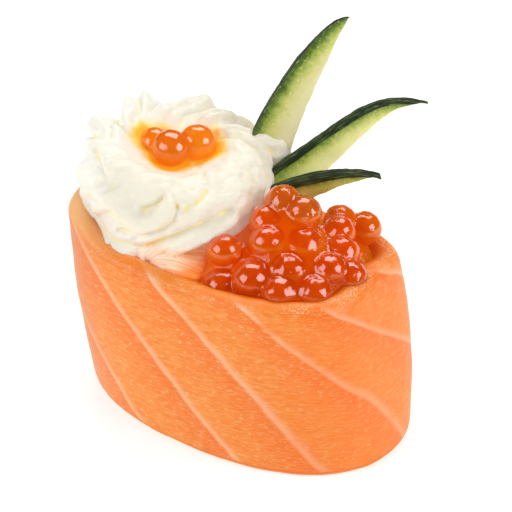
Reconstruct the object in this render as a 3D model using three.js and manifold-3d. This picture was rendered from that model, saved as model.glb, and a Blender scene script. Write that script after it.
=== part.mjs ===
// Salmon roe gunkan: a thick band of raw salmon stands round an oval block of rice. A piped rosette
// of soft cheese carries three loose eggs at one end, a mound of roe fills the other end, and three
// cucumber slices fan out between them. Millimetres, +Z up. The oval's long axis lies along X with
// the rosette towards -X, and the origin is the middle of the underside.

import * as THREE from "three";
import Module from "manifold-3d";

const wasm = await Module();
wasm.setup();

const GAP = 0.3; // clearance kept between pieces that touch
const SLIVER = 0.02; // detail finer than this is dropped after a cut
const FULL_TURN = 2 * Math.PI;

// The band of salmon. Its foot and its rim are two different ovals, and the wall runs between them.
const FOOT_OVAL = { halfLength: 28.6, halfWidth: 19.3, squareness: 2.25, swell: -0.09, shift: 1, yaw: -0.12 };
const RIM_OVAL = { halfLength: 26.7, halfWidth: 17.2, squareness: 3.3, swell: -0.05, shift: -2.2, yaw: 0 };
const BAND_HEIGHT = 31.5;
const BAND_TILT = 0.7; // how much higher the rim is at the +X end than in the middle
const BAND_THICKNESS = 4.3;
const BAND_END_THICKENING = 0.7; // extra thickness at the +X end
const BAND_BELLY = 0.4; // how far the wall swells at half height
const BAND_DENT = 0.25; // depth of the shallow waves in the wall
const BAND_STATIONS = 78;
const BAND_WALL_LEVELS = 6;
const FOOT_ROUND = 1.3;
const RIM_ROUND = 1.1;
const RIM_DROP = 1.3; // how far the rim's top falls towards the filling
const RIM_WAVE = 0.25;
// Where the rim stands higher or lower than its plane, within 60 degrees either way.
const RIM_BUMPS = [
  { turn: 0.85, rise: -2.6 },
  { turn: 3.4, rise: 1.1 },
];
const LAP = { turn: 1.85, thickness: 1.9, taper: 0.85, slant: 0.16 }; // the band's lapped end, at the back

// The block of rice inside the band.
const RICE_TOP = 27.5;
const RICE_CORE_BOTTOM = 0.7;
const RICE_GRAIN = { length: 6.4, width: 2.8, thickness: 2.3, sides: 6, bands: 3 };
const RICE_FIELD = { halfLength: 20.5, halfWidth: 12, pitch: 4.3, rowPitch: 4.1, stray: 0.5, seed: 5 };

// The rosette of soft cheese.
const ROSETTE = {
  x: -14.8,
  y: 2,
  segments: 88,
  rings: 14,
  lobes: 11,
  groove: 3, // depth of the grooves at the shoulder
  ridgeMean: 0.62, // share of that depth that lies under the mean surface
  ridgeLean: 0.55, // how far each ridge leans over its neighbour
  twist: 2.4, // radians that a ridge turns from the foot to the crater
  wander: 0.13, // radians that the ridges stray from even spacing
  calm: 0.45, // how far the grooves fade towards calmTurn, where the cheese was smoothed
  calmTurn: 0.35,
  slump: 3, // how much lower its top is towards slumpTurn
  slumpTurn: 0.2,
  swell: 0.5, // how much further it bulges towards swellTurn
  swellTurn: -0.63,
};
// Radius and height of the rosette's mean surface, from its foot to the middle of its crater.
const ROSETTE_PROFILE = [
  [13, RICE_TOP + GAP],
  [14.3, 31.2],
  [15.2, 35],
  [15.2, 39.4],
  [13.6, 43.2],
  [10, 44.4],
  [6.8, 42.6],
  [3, 41],
  [0, 40.8],
];
const SMEAR = { x: -10.6, y: -2.6, halfLength: 13.4, halfWidth: 11.6, top: 32.6, streaks: 21, relief: 0.3 };

// Salmon eggs.
const EGG_RADIUS = 2.75;
const EGG_SIDES = 8;
const EGG_BANDS = 4;
const ROE_MOUND = { x: 8.4, y: -0.4, halfLength: 13.4, halfWidth: 12.8 };
const ROE_PEAK = { x: 7, y: 3.4, height: 35.8, slope: 0.5, roundness: 3 };
const ROE_YAW = Math.PI / 6; // the rows of eggs run at this angle to X
// Rows of eggs from the front to the back: how far back each row lies, and its eggs along it.
const ROE_ROWS = [
  { back: -15, along: [4.9, 10.6] },
  { back: -11.6, along: [-4.6, 0.5, 6.4, 12.3, 16] },
  { back: -7.2, along: [-3.6, 3, 9.2, 14.8] },
  { back: -3.1, along: [3.1, 8.8, 14.2, 18] },
  { back: 1, along: [0.6, 14.4, 18] },
  { back: 4.6, along: [7] },
];
const ROE_SIT = 1.3; // height of an egg's middle over the gel
const ROE_CROWN = { x: 5.3, y: 2.2, z: 38.3, radius: 3.1 };
const ROE_JITTER = 0.4;
const ROE_SIZE_SPREAD = 0.1;
const ROE_SEED = 11;
const LOOSE_EGGS = [
  { name: "cream_egg_left", x: -19.4, y: 2.6, radius: 2.35, sink: 1.7 },
  { name: "cream_egg_front", x: -14.6, y: -0.3, radius: 2.75, sink: 0.4 },
  { name: "cream_egg_right", x: -12.4, y: 5.4, radius: 2.75, sink: 1 },
];

// Cucumber slices: four points that steer the curve of the rind, how far the slice is rolled about
// its own length, its width at the root and how late the width falls away.
const SLICE_THICKNESS = 2;
const SLICE_STATIONS = 14;
const SLICE_TIP = 0.09; // width left at the tip, as a share of the width at the root
const RIND_CROWN = 0.45; // how far the rind bulges past its line, and how deep its shoulders reach
const RIND_DEPTH = 0.5;
const SLICES = [
  {
    name: "cucumber_slice_tall",
    rind: [[-6.6, 9.1, 31], [-10.5, 7.8, 35.2], [-0.7, 20.8, 61.2], [4.8, 24.1, 61.3]],
    roll: -0.43,
    width: 7.9,
    taper: 2.6,
  },
  {
    name: "cucumber_slice_middle",
    rind: [[-8.3, 8.6, 31], [6.9, 20.5, 43.6], [8.2, 23, 50.3], [17.7, 27.7, 47]],
    roll: -0.23,
    width: 7.5,
    taper: 1.3,
  },
  {
    name: "cucumber_slice_low",
    rind: [[-3.2, 6.3, 31], [-2.9, 4, 37.6], [10.7, 12.8, 41.9], [14.7, 17.5, 37.7]],
    roll: 0.31,
    width: 7.7,
    taper: 1.3,
  },
];

const COLOURS = {
  salmon: 0xf78f4c,
  rice: 0xf4f0e4,
  cream: 0xf8f1dc,
  roe: 0xd8540a,
  egg: 0xf08010,
  cucumber: 0x9db356,
};

const mix = (a, b, share) => a + (b - a) * share;
const smooth = (share) => {
  const s = Math.min(1, Math.max(0, share));
  return s * s * (3 - 2 * s);
};

// Repeatable random numbers from 0 to 1.
function randomFrom(seed) {
  let state = seed;
  return () => {
    state = (state * 1103515245 + 12345) % 2147483648;
    return state / 2147483648;
  };
}

// Joins rings of points into a closed solid. With end points the rings form a skin that those
// points close; without them the last ring joins the first.
function solidOfRings(rings, firstTip, lastTip) {
  const around = rings[0].length;
  const points = rings.flat();
  const triangles = [];
  const joins = firstTip ? rings.length - 1 : rings.length;
  for (let r = 0; r < joins; r++) {
    const low = r * around;
    const high = ((r + 1) % rings.length) * around;
    for (let i = 0; i < around; i++) {
      const next = (i + 1) % around;
      triangles.push(low + i, low + next, high + next, low + i, high + next, high + i);
    }
  }
  if (firstTip) {
    const first = points.push(firstTip) - 1;
    const last = points.push(lastTip) - 1;
    const high = (rings.length - 1) * around;
    for (let i = 0; i < around; i++) {
      const next = (i + 1) % around;
      triangles.push(first, next, i, last, high + i, high + next);
    }
  }
  return solidOf(points, triangles);
}

// A manifold solid with its faces pointing out, whichever way round the triangles were listed.
function solidOf(points, triangles) {
  let volume = 0;
  const cross = new THREE.Vector3();
  for (let i = 0; i < triangles.length; i += 3) {
    const [a, b, c] = [0, 1, 2].map((k) => points[triangles[i + k]]);
    volume += a.dot(cross.crossVectors(b, c));
  }
  const facing = volume > 0 ? triangles : [...triangles].reverse();
  return new wasm.Manifold(
    new wasm.Mesh({
      numProp: 3,
      vertProperties: new Float32Array(points.flatMap((p) => [p.x, p.y, p.z])),
      triVerts: new Uint32Array(facing),
    }),
  );
}

// The largest connected body of a solid, without the scraps and slivers that a cut leaves.
function mainBody(solid) {
  const bodies = solid.simplify(SLIVER).decompose();
  return bodies.reduce((best, body) => (body.volume() > best.volume() ? body : best));
}

function union(solids) {
  return solids.reduce((whole, solid) => whole.add(solid));
}

// A point on an oval whose sides are flatter than an ellipse's and whose width grows along X.
function ovalPoint(oval, turn) {
  const direction = Math.atan2(oval.halfWidth * Math.sin(turn), oval.halfLength * Math.cos(turn));
  const power = oval.squareness;
  const across = Math.abs(Math.cos(direction) / oval.halfLength) ** power;
  const along = Math.abs(Math.sin(direction) / oval.halfWidth) ** power;
  const radius = (across + along) ** (-1 / power);
  const x = radius * Math.cos(direction);
  const y = radius * Math.sin(direction) * (1 + (oval.swell * x) / oval.halfLength);
  return new THREE.Vector2(x + oval.shift, y).rotateAround(new THREE.Vector2(), oval.yaw);
}

// How far the lapped end pushes the wall out: most just before its edge, nothing past it.
function lapStep(turn) {
  const before = (((LAP.turn - turn) % FULL_TURN) + FULL_TURN) % FULL_TURN;
  return LAP.thickness * (1 - smooth(before / LAP.taper));
}

// The band's outer wall in plan at a share of its height, with an inset towards the rice.
function wallPoint(turn, share, inset) {
  const oval = {};
  for (const key of Object.keys(FOOT_OVAL)) oval[key] = mix(FOOT_OVAL[key], RIM_OVAL[key], share);
  const slanted = turn + LAP.slant * share;
  const step = 0.01;
  const point = ovalPoint(oval, slanted);
  const tangent = ovalPoint(oval, slanted + step).sub(ovalPoint(oval, slanted - step));
  const outward = new THREE.Vector2(tangent.y, -tangent.x).normalize();
  const belly = Math.sin(Math.PI * Math.min(1, Math.max(0, share)));
  const dent = BAND_DENT * Math.sin(3 * turn + 2.4 * share) * belly;
  const swell = BAND_BELLY * Math.max(0, belly) ** 0.8;
  return point.addScaledVector(outward, swell + dent - inset);
}

function rimHeight(turn) {
  const wave = RIM_WAVE * (Math.sin(2 * turn + 0.6) + 0.6 * Math.sin(5 * turn));
  const bumps = RIM_BUMPS.reduce(
    (sum, bump) => sum + bump.rise * smooth(2 * Math.cos(turn - bump.turn) - 1),
    0,
  );
  return BAND_HEIGHT + BAND_TILT * Math.cos(turn) + wave + bumps;
}

function bandThickness(turn) {
  return BAND_THICKNESS + BAND_END_THICKENING * smooth(Math.cos(turn));
}

// The band's section as insets and heights, from its inner foot round the outside to its inner lip.
function bandSection(turn, grow) {
  const top = rimHeight(turn) + grow;
  const thickness = bandThickness(turn) + grow;
  const bottom = grow ? -grow - 1 : 0;
  const lap = lapStep(turn);
  const outside = -lap - grow;
  const section = [[thickness, bottom]];
  const arcSteps = 2;
  for (let i = 0; i <= arcSteps; i++) {
    const angle = (Math.PI / 2) * (i / arcSteps);
    section.push([
      outside + FOOT_ROUND * (1 - Math.sin(angle)),
      bottom + FOOT_ROUND * (1 - Math.cos(angle)),
    ]);
  }
  for (let i = 1; i < BAND_WALL_LEVELS; i++) {
    section.push([outside, mix(FOOT_ROUND, top - RIM_ROUND, i / BAND_WALL_LEVELS)]);
  }
  for (let i = 0; i <= arcSteps; i++) {
    const angle = (Math.PI / 2) * (i / arcSteps);
    section.push([
      outside + RIM_ROUND * (1 - Math.cos(angle)),
      top - RIM_ROUND * (1 - Math.sin(angle)),
    ]);
  }
  const topInset = outside + RIM_ROUND;
  for (const share of [0.4, 0.75]) {
    section.push([mix(topInset, thickness, share), top - RIM_DROP * share ** 2]);
  }
  section.push([thickness, top - RIM_DROP - RIM_ROUND]);
  section.push([thickness, mix(bottom, top, 0.5)]);
  return section;
}

// The band as a closed loop of sections. Two sections hug the edge of the lapped end, so that the
// edge is a real step. A grown copy serves as the room that its neighbours leave.
function bandSolid(grow = 0) {
  const hug = 0.008;
  const turns = [LAP.turn + hug];
  for (let i = 1; i < BAND_STATIONS; i++) turns.push(LAP.turn + (FULL_TURN * i) / BAND_STATIONS);
  turns.push(LAP.turn + FULL_TURN - hug);
  const rings = turns.map((turn) =>
    bandSection(turn, grow).map(([inset, z]) => {
      const plan = wallPoint(turn, z / BAND_HEIGHT, inset);
      return new THREE.Vector3(plan.x, plan.y, z);
    }),
  );
  return solidOfRings(rings);
}

// A block that fills the inside of the band between two heights, clear of the wall.
function insideBlock(bottom, top, clearance, edgeRound) {
  const stations = 48;
  const levels = [
    [bottom, 0],
    [mix(bottom, top - edgeRound, 0.5), 0],
    [top - edgeRound, 0],
    [top, edgeRound],
  ];
  const rings = levels.map(([z, tuck]) =>
    Array.from({ length: stations }, (_, i) => {
      const turn = (FULL_TURN * i) / stations;
      const plan = wallPoint(turn, z / BAND_HEIGHT, bandThickness(turn) + clearance + tuck);
      return new THREE.Vector3(plan.x, plan.y, z);
    }),
  );
  return solidOfRings(rings, new THREE.Vector3(0, 0, bottom), new THREE.Vector3(0, 0, top));
}

// A ball stretched to three half sizes, turned about Z, at a place.
function pebble(half, place, yaw, sides, bands) {
  const rings = [];
  for (let b = 1; b < bands; b++) {
    const polar = (Math.PI * b) / bands;
    rings.push(
      Array.from({ length: sides }, (_, i) => {
        const turn = (FULL_TURN * i) / sides;
        return new THREE.Vector3(
          half.x * Math.cos(polar),
          half.y * Math.sin(polar) * Math.cos(turn),
          half.z * Math.sin(polar) * Math.sin(turn),
        );
      }),
    );
  }
  const seat = new THREE.Matrix4().makeRotationZ(yaw).setPosition(place);
  const tips = [1, -1].map((sign) => new THREE.Vector3(sign * half.x, 0, 0).applyMatrix4(seat));
  for (const ring of rings) ring.forEach((point) => point.applyMatrix4(seat));
  return solidOfRings(rings, tips[0], tips[1]);
}

// Rice: a plain core, with the grains that show on the underside pressed flat there. The grain in
// the middle is exactly on the origin.
function riceSolid() {
  const random = randomFrom(RICE_FIELD.seed);
  const stray = () => RICE_FIELD.stray * (2 * random() - 1);
  const half = new THREE.Vector3(RICE_GRAIN.length, RICE_GRAIN.width, RICE_GRAIN.thickness);
  half.multiplyScalar(0.5);
  const grains = [];
  for (let row = -3; row <= 3; row++) {
    for (let column = -5; column <= 5; column++) {
      const middle = row === 0 && column === 0;
      const x = RICE_FIELD.pitch * (column + (row % 2 ? 0.5 : 0)) + (middle ? 0 : stray());
      const y = RICE_FIELD.rowPitch * row + (middle ? 0 : stray());
      const yaw = Math.PI * random();
      if (Math.hypot(x / RICE_FIELD.halfLength, y / RICE_FIELD.halfWidth) > 1) continue;
      const place = new THREE.Vector3(x, y, RICE_CORE_BOTTOM);
      grains.push(pebble(half, place, yaw, RICE_GRAIN.sides, RICE_GRAIN.bands));
    }
  }
  const core = insideBlock(RICE_CORE_BOTTOM, RICE_TOP, GAP, 1.5);
  const below = insideBlock(-RICE_GRAIN.thickness, 0, -1, 0.1);
  return mainBody(union([core, ...grains]).subtract(below));
}

// The rosette's mean profile as a smooth curve through its named points.
const rosetteCurve = new THREE.SplineCurve(
  ROSETTE_PROFILE.map(([radius, z]) => new THREE.Vector2(radius, z)),
);

// A point of the rosette. A lane is a line that spirals up from the foot and runs straight into the
// crater, as a star nozzle leaves it, and each ridge follows its own lanes.
function rosettePoint(lane, share, grow) {
  const mean = rosetteCurve.getPoint(share);
  const ahead = rosetteCurve.getTangent(Math.min(0.999, share));
  const outward = new THREE.Vector2(ahead.y, -ahead.x);
  const unwound = lane - ROSETTE.twist * (1 - share) ** 2;
  const turn = unwound + ROSETTE.wander * Math.sin(2 * lane + 0.7);
  const phase = ROSETTE.lobes * lane;
  const leaning = phase + ROSETTE.ridgeLean * Math.sin(phase);
  const ridge = Math.abs(Math.sin(leaning / 2)) - ROSETTE.ridgeMean;
  const reach = smooth(share / 0.16) * smooth((0.9 - share) / 0.45);
  const calm = 1 - ROSETTE.calm * smooth(Math.cos(turn - ROSETTE.calmTurn));
  const swell = ROSETTE.swell * Math.cos(turn - ROSETTE.swellTurn);
  const push = reach * (ROSETTE.groove * calm * ridge + swell) + grow;
  const radius = Math.max(0, mean.x + outward.x * push);
  const side = 0.5 + 0.5 * Math.cos(turn - ROSETTE.slumpTurn);
  const [footRadius] = ROSETTE_PROFILE[0];
  const slump = ROSETTE.slump * side * smooth(share / 0.6) * (radius / footRadius);
  return new THREE.Vector3(
    ROSETTE.x + radius * Math.cos(turn),
    ROSETTE.y + radius * Math.sin(turn),
    mean.y + outward.y * push - slump,
  );
}

function rosetteSolid(grow) {
  const rings = [];
  for (let r = 0; r < ROSETTE.rings; r++) {
    const share = r / ROSETTE.rings;
    rings.push(
      Array.from({ length: ROSETTE.segments }, (_, i) =>
        rosettePoint((FULL_TURN * i) / ROSETTE.segments, share, grow),
      ),
    );
  }
  const [, footHeight] = ROSETTE_PROFILE[0];
  const [, craterHeight] = ROSETTE_PROFILE.at(-1);
  const foot = new THREE.Vector3(ROSETTE.x, ROSETTE.y, footHeight - grow);
  const crater = new THREE.Vector3(ROSETTE.x, ROSETTE.y, craterHeight + grow);
  return solidOfRings(rings, foot, crater);
}

// The thin cheese that was dragged from the rosette towards the roe: a low cushion with streaks.
function smearSolid(grow) {
  const segments = 42;
  const bottom = RICE_TOP + GAP - grow;
  const levels = [
    [1, bottom],
    [1, mix(bottom, SMEAR.top, 0.6)],
    [0.86, SMEAR.top - 0.6],
    [0.6, SMEAR.top],
  ];
  const rings = levels.map(([share, z], level) =>
    Array.from({ length: segments }, (_, i) => {
      const turn = (FULL_TURN * i) / segments;
      const y = (share * SMEAR.halfWidth + grow) * Math.sin(turn);
      const streak = level > 1 ? SMEAR.relief * Math.sin((SMEAR.streaks * y) / SMEAR.halfWidth) : 0;
      return new THREE.Vector3(
        SMEAR.x + (share * SMEAR.halfLength + grow) * Math.cos(turn),
        SMEAR.y + y,
        z + streak + (level > 1 ? grow : 0),
      );
    }),
  );
  return solidOfRings(
    rings,
    new THREE.Vector3(SMEAR.x, SMEAR.y, bottom),
    new THREE.Vector3(SMEAR.x, SMEAR.y, SMEAR.top + 0.2 + grow),
  );
}

// A salmon egg.
function eggSolid(place, radius) {
  const half = new THREE.Vector3(radius * 1.03, radius, radius * 0.97);
  return pebble(half, place, place.x * 1.7, EGG_SIDES, EGG_BANDS);
}

function looseEggPlace(egg) {
  const [, craterHeight] = ROSETTE_PROFILE.at(-1);
  return new THREE.Vector3(egg.x, egg.y, craterHeight + egg.radius - egg.sink);
}

// The height of the gel that the roe lies in: a cone with a round top.
function gelHeight(x, y) {
  const away = Math.hypot(x - ROE_PEAK.x, y - ROE_PEAK.y, ROE_PEAK.roundness) - ROE_PEAK.roundness;
  return ROE_PEAK.height - ROE_PEAK.slope * away;
}

// The places and sizes of the roe's eggs, row by row, each a little off its row.
function roeEggs() {
  const random = randomFrom(ROE_SEED);
  const stray = () => ROE_JITTER * (2 * random() - 1);
  const eggs = ROE_ROWS.flatMap((row) =>
    row.along.map((along) => {
      const plan = new THREE.Vector2(along + stray(), row.back + stray());
      plan.rotateAround(new THREE.Vector2(), ROE_YAW);
      const z = gelHeight(plan.x, plan.y) + ROE_SIT + stray();
      return { place: new THREE.Vector3(plan.x, plan.y, z), radius: EGG_RADIUS + ROE_SIZE_SPREAD * random() };
    }),
  );
  const crown = new THREE.Vector3(ROE_CROWN.x, ROE_CROWN.y, ROE_CROWN.z);
  return [...eggs, { place: crown, radius: ROE_CROWN.radius }];
}

// The roe: a mound of gel with the eggs that show fused on, or the same grown as room for it.
function roeSolid(grow) {
  const segments = 32;
  const shares = [1, 1, 0.7, 0.35];
  const bottom = RICE_TOP + GAP - grow;
  const rings = shares.map((share, level) =>
    Array.from({ length: segments }, (_, i) => {
      const turn = (FULL_TURN * i) / segments;
      const x = ROE_MOUND.x + (share * ROE_MOUND.halfLength + grow) * Math.cos(turn);
      const y = ROE_MOUND.y + (share * ROE_MOUND.halfWidth + grow) * Math.sin(turn);
      return new THREE.Vector3(x, y, level === 0 ? bottom : gelHeight(x, y) + grow);
    }),
  );
  const top = gelHeight(ROE_MOUND.x, ROE_MOUND.y) + grow;
  const core = solidOfRings(
    rings,
    new THREE.Vector3(ROE_MOUND.x, ROE_MOUND.y, bottom),
    new THREE.Vector3(ROE_MOUND.x, ROE_MOUND.y, top),
  );
  const eggs = roeEggs().map(({ place, radius }) => eggSolid(place, radius + grow));
  return union([core, ...eggs]);
}

// A cucumber slice: a thin strip with the rind along its curved edge, narrowing to a fine tip.
function sliceSolid(slice, grow) {
  const rind = new THREE.CubicBezierCurve3(...slice.rind.map((point) => new THREE.Vector3(...point)));
  const along = rind.v3.clone().sub(rind.v0).normalize();
  const level = new THREE.Vector3(0, 0, 1).addScaledVector(along, -along.z).normalize();
  const edgeways = level.applyAxisAngle(along, slice.roll);
  const flat = new THREE.Vector3().crossVectors(along, edgeways);
  const rings = [];
  for (let s = 0; s <= SLICE_STATIONS; s++) {
    const share = s / SLICE_STATIONS;
    const taper = Math.max(SLICE_TIP, 1 - share ** slice.taper);
    const width = slice.width * taper + grow;
    const half = (SLICE_THICKNESS / 2) * Math.min(1, 0.35 + 1.3 * taper) + grow;
    const middle = rind.getPoint(share);
    const section = [
      [grow + 0.1, 0.65 * half],
      [grow + RIND_CROWN, 0],
      [grow + 0.1, -0.65 * half],
      [-RIND_DEPTH, -half],
      [-width, -half],
      [-width, half],
      [-RIND_DEPTH, half],
    ];
    rings.push(
      section.map(([across, over]) =>
        middle.clone().addScaledVector(edgeways, across).addScaledVector(flat, over),
      ),
    );
  }
  const centre = (ring) =>
    ring.reduce((sum, point) => sum.add(point), new THREE.Vector3()).divideScalar(ring.length);
  return solidOfRings(rings, centre(rings[0]), centre(rings.at(-1)));
}

function meshOf(name, solid, colour, roughness) {
  const made = solid.getMesh();
  const geometry = new THREE.BufferGeometry();
  geometry.setAttribute("position", new THREE.BufferAttribute(new Float32Array(made.vertProperties), 3));
  geometry.setIndex(new THREE.BufferAttribute(new Uint32Array(made.triVerts), 1));
  geometry.computeVertexNormals();
  const material = new THREE.MeshStandardMaterial({ color: colour, roughness, metalness: 0 });
  const mesh = new THREE.Mesh(geometry, material);
  mesh.name = name;
  return mesh;
}

const gunkan = new THREE.Group();
gunkan.name = "salmon_roe_gunkan";

const bandRoom = bandSolid(GAP);
const riceRoom = insideBlock(0, RICE_TOP + GAP, 0, 0.1);
const sliceRooms = SLICES.map((slice) => sliceSolid(slice, GAP));
const eggRooms = LOOSE_EGGS.map((egg) => eggSolid(looseEggPlace(egg), egg.radius + GAP));

// The slices end on the rice, and each one gives way to the slices after it.
const slices = SLICES.map((slice, i) =>
  mainBody(sliceSolid(slice, 0).subtract(union([riceRoom, bandRoom, ...sliceRooms.slice(i + 1)]))),
);
const roe = mainBody(roeSolid(0).subtract(union([bandRoom, ...sliceRooms])));
const cream = mainBody(
  union([rosetteSolid(0), smearSolid(0)]).subtract(
    union([bandRoom, roeSolid(GAP), ...sliceRooms, ...eggRooms]),
  ),
);

gunkan.add(meshOf("salmon_band", bandSolid(), COLOURS.salmon, 0.4));
gunkan.add(meshOf("rice_block", riceSolid(), COLOURS.rice, 0.6));
gunkan.add(meshOf("cream_rosette", cream, COLOURS.cream, 0.5));
gunkan.add(meshOf("roe_heap", roe, COLOURS.roe, 0.1));
for (const egg of LOOSE_EGGS) {
  gunkan.add(meshOf(egg.name, eggSolid(looseEggPlace(egg), egg.radius), COLOURS.egg, 0.1));
}
SLICES.forEach((slice, i) => gunkan.add(meshOf(slice.name, slices[i], COLOURS.cucumber, 0.35)));

export default gunkan;
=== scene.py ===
# %% [markdown]
# Salmon roe gunkan. A gunkan is an oval block of rice with a band round it that stands a little
# higher than the rice, and the toppings sit in the tray that the band leaves. Here the band is a
# thick slice of raw salmon. The plain solids come first, as a frame that gives every size and place,
# and each one is then replaced by a piece with the real surface. Nothing is moved or resized.

# %% Load the frame
import math

import bpy
import numpy as np
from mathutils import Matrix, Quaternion, Vector


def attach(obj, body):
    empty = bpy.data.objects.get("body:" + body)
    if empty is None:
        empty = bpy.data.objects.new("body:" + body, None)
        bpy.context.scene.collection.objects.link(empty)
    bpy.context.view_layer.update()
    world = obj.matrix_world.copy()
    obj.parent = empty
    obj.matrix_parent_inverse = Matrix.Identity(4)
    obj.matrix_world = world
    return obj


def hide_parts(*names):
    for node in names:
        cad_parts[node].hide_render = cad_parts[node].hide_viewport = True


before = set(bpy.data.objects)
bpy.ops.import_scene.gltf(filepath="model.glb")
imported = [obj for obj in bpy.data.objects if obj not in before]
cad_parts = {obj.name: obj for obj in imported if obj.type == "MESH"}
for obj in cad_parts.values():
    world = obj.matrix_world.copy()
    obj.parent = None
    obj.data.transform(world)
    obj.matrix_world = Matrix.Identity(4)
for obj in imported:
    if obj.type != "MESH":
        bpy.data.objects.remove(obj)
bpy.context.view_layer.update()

# %% [markdown]
# Food is small, so sizes are easier to read in millimetres. Every shape below is worked out in
# millimetres and multiplied by MM once, when its points are placed, because the scene is in metres.

# %% Units and small helpers for numbers
MM = 0.001
FULL_TURN = 2 * np.pi


def smooth(share):
    """Eases from 0 to 1 as share goes from 0 to 1."""
    s = np.clip(share, 0, 1)
    return s * s * (3 - 2 * s)


def mix(a, b, share):
    return a + (b - a) * share


def turned(x, y, yaw):
    """A place in plan, turned about the middle of the plan."""
    cosine, sine = np.cos(yaw), np.sin(yaw)
    return x * cosine - y * sine, x * sine + y * cosine


def random_from(seed):
    """Repeatable random numbers from 0 to 1."""
    state = float(seed)

    def draw():
        nonlocal state
        state = math.fmod(state * 1103515245 + 12345, 2147483648)
        return state / 2147483648

    return draw


def colour(red, green, blue):
    """A screen colour from 0 to 255 as the linear colour that a shader works with."""

    def linear(level):
        level /= 255
        return level / 12.92 if level <= 0.04045 else ((level + 0.055) / 1.055) ** 2.4

    return (linear(red), linear(green), linear(blue), 1)


# %% [markdown]
# The camera looks down from the front right through a long lens, so the piece shows almost no
# perspective. The light is that of a food studio: a white room for the soft fill, which is kept out
# of the reflections so that wet things keep their colour, and a few bright windows that leave their
# shapes on them. Lamps with no size would be simpler, but they leave hard shadows and tiny dots.

# %% Camera
LOOK_AT = Vector((1.452, 0, 27.676)) * MM
CAMERA_AZIMUTH = math.radians(30)
CAMERA_ELEVATION = math.radians(37)
CAMERA_DISTANCE = 450 * MM
LENS = 194.71


def direction(azimuth, elevation):
    """The unit vector from the object towards a place at this azimuth and elevation."""
    level = math.cos(elevation)
    return Vector((math.sin(azimuth) * level, -math.cos(azimuth) * level, math.sin(elevation)))


toward_camera = direction(CAMERA_AZIMUTH, CAMERA_ELEVATION)
bpy.ops.object.camera_add(location=LOOK_AT + toward_camera * CAMERA_DISTANCE)
camera = bpy.context.object
camera.rotation_euler = (-toward_camera).to_track_quat("-Z", "Y").to_euler()
camera.data.lens = LENS
camera.data.clip_start = 10 * MM
bpy.context.scene.camera = camera
print("camera at, mm:", [round(1000 * side) for side in camera.location])

# %% Studio light
ROOM_LIGHT = 0.27
WINDOW_DISTANCE = 0.6
# Azimuth, elevation, width and height in metres, and watts
WINDOWS = {
    "window_left": (-34, 34, 0.42, 0.37, 1.85),
    "window_right": (96, 30, 0.35, 0.33, 1.9),
    "window_back": (205, 50, 0.5, 0.26, 1.9),
}

bpy.context.scene.view_settings.view_transform = "Standard"
world = bpy.data.worlds.new("white_room")
bpy.context.scene.world = world
world.use_nodes = True
room = world.node_tree.nodes["Background"]
room.inputs["Color"].default_value = (1, 1, 1, 1)
room.inputs["Strength"].default_value = ROOM_LIGHT
world.cycles_visibility.glossy = False

for name, (azimuth, elevation, width, height, watts) in WINDOWS.items():
    away = direction(math.radians(azimuth), math.radians(elevation))
    bpy.ops.object.light_add(type="AREA", location=LOOK_AT + away * WINDOW_DISTANCE)
    lamp = bpy.context.object
    lamp.name = name
    lamp.rotation_euler = (-away).to_track_quat("-Z", "Y").to_euler()
    lamp.data.shape = "RECTANGLE"
    lamp.data.size = width
    lamp.data.size_y = height
    lamp.data.energy = watts
    print(name, "gives", watts, "W")

# %% [markdown]
# Shader maths reads best as a formula. A Wire stands for one output of a node, and Python's own
# operators on wires add the Math nodes. Every other node comes from Finish.add, which takes its
# type, its settings and what goes into its sockets.


# %% Shader helper: wires
class Wire:
    """One output of a node in a finish. Sums and products of wires are wires too."""

    def __init__(self, finish, socket):
        self.finish = finish
        self.socket = socket

    def math(self, operation, *values):
        return self.finish.add("ShaderNodeMath", {"operation": operation}, dict(enumerate(values)))

    def __add__(self, other):
        return self.math("ADD", self, other)

    def __sub__(self, other):
        return self.math("SUBTRACT", self, other)

    def __rsub__(self, other):
        return self.math("SUBTRACT", other, self)

    def __mul__(self, other):
        return self.math("MULTIPLY", self, other)

    def __truediv__(self, other):
        return self.math("DIVIDE", self, other)

    __radd__ = __add__
    __rmul__ = __mul__

    def larger(self, other):
        return self.math("MAXIMUM", self, other)

    def fraction(self):
        """What is left of a number without its whole part."""
        return self.math("FRACT", self)


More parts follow.
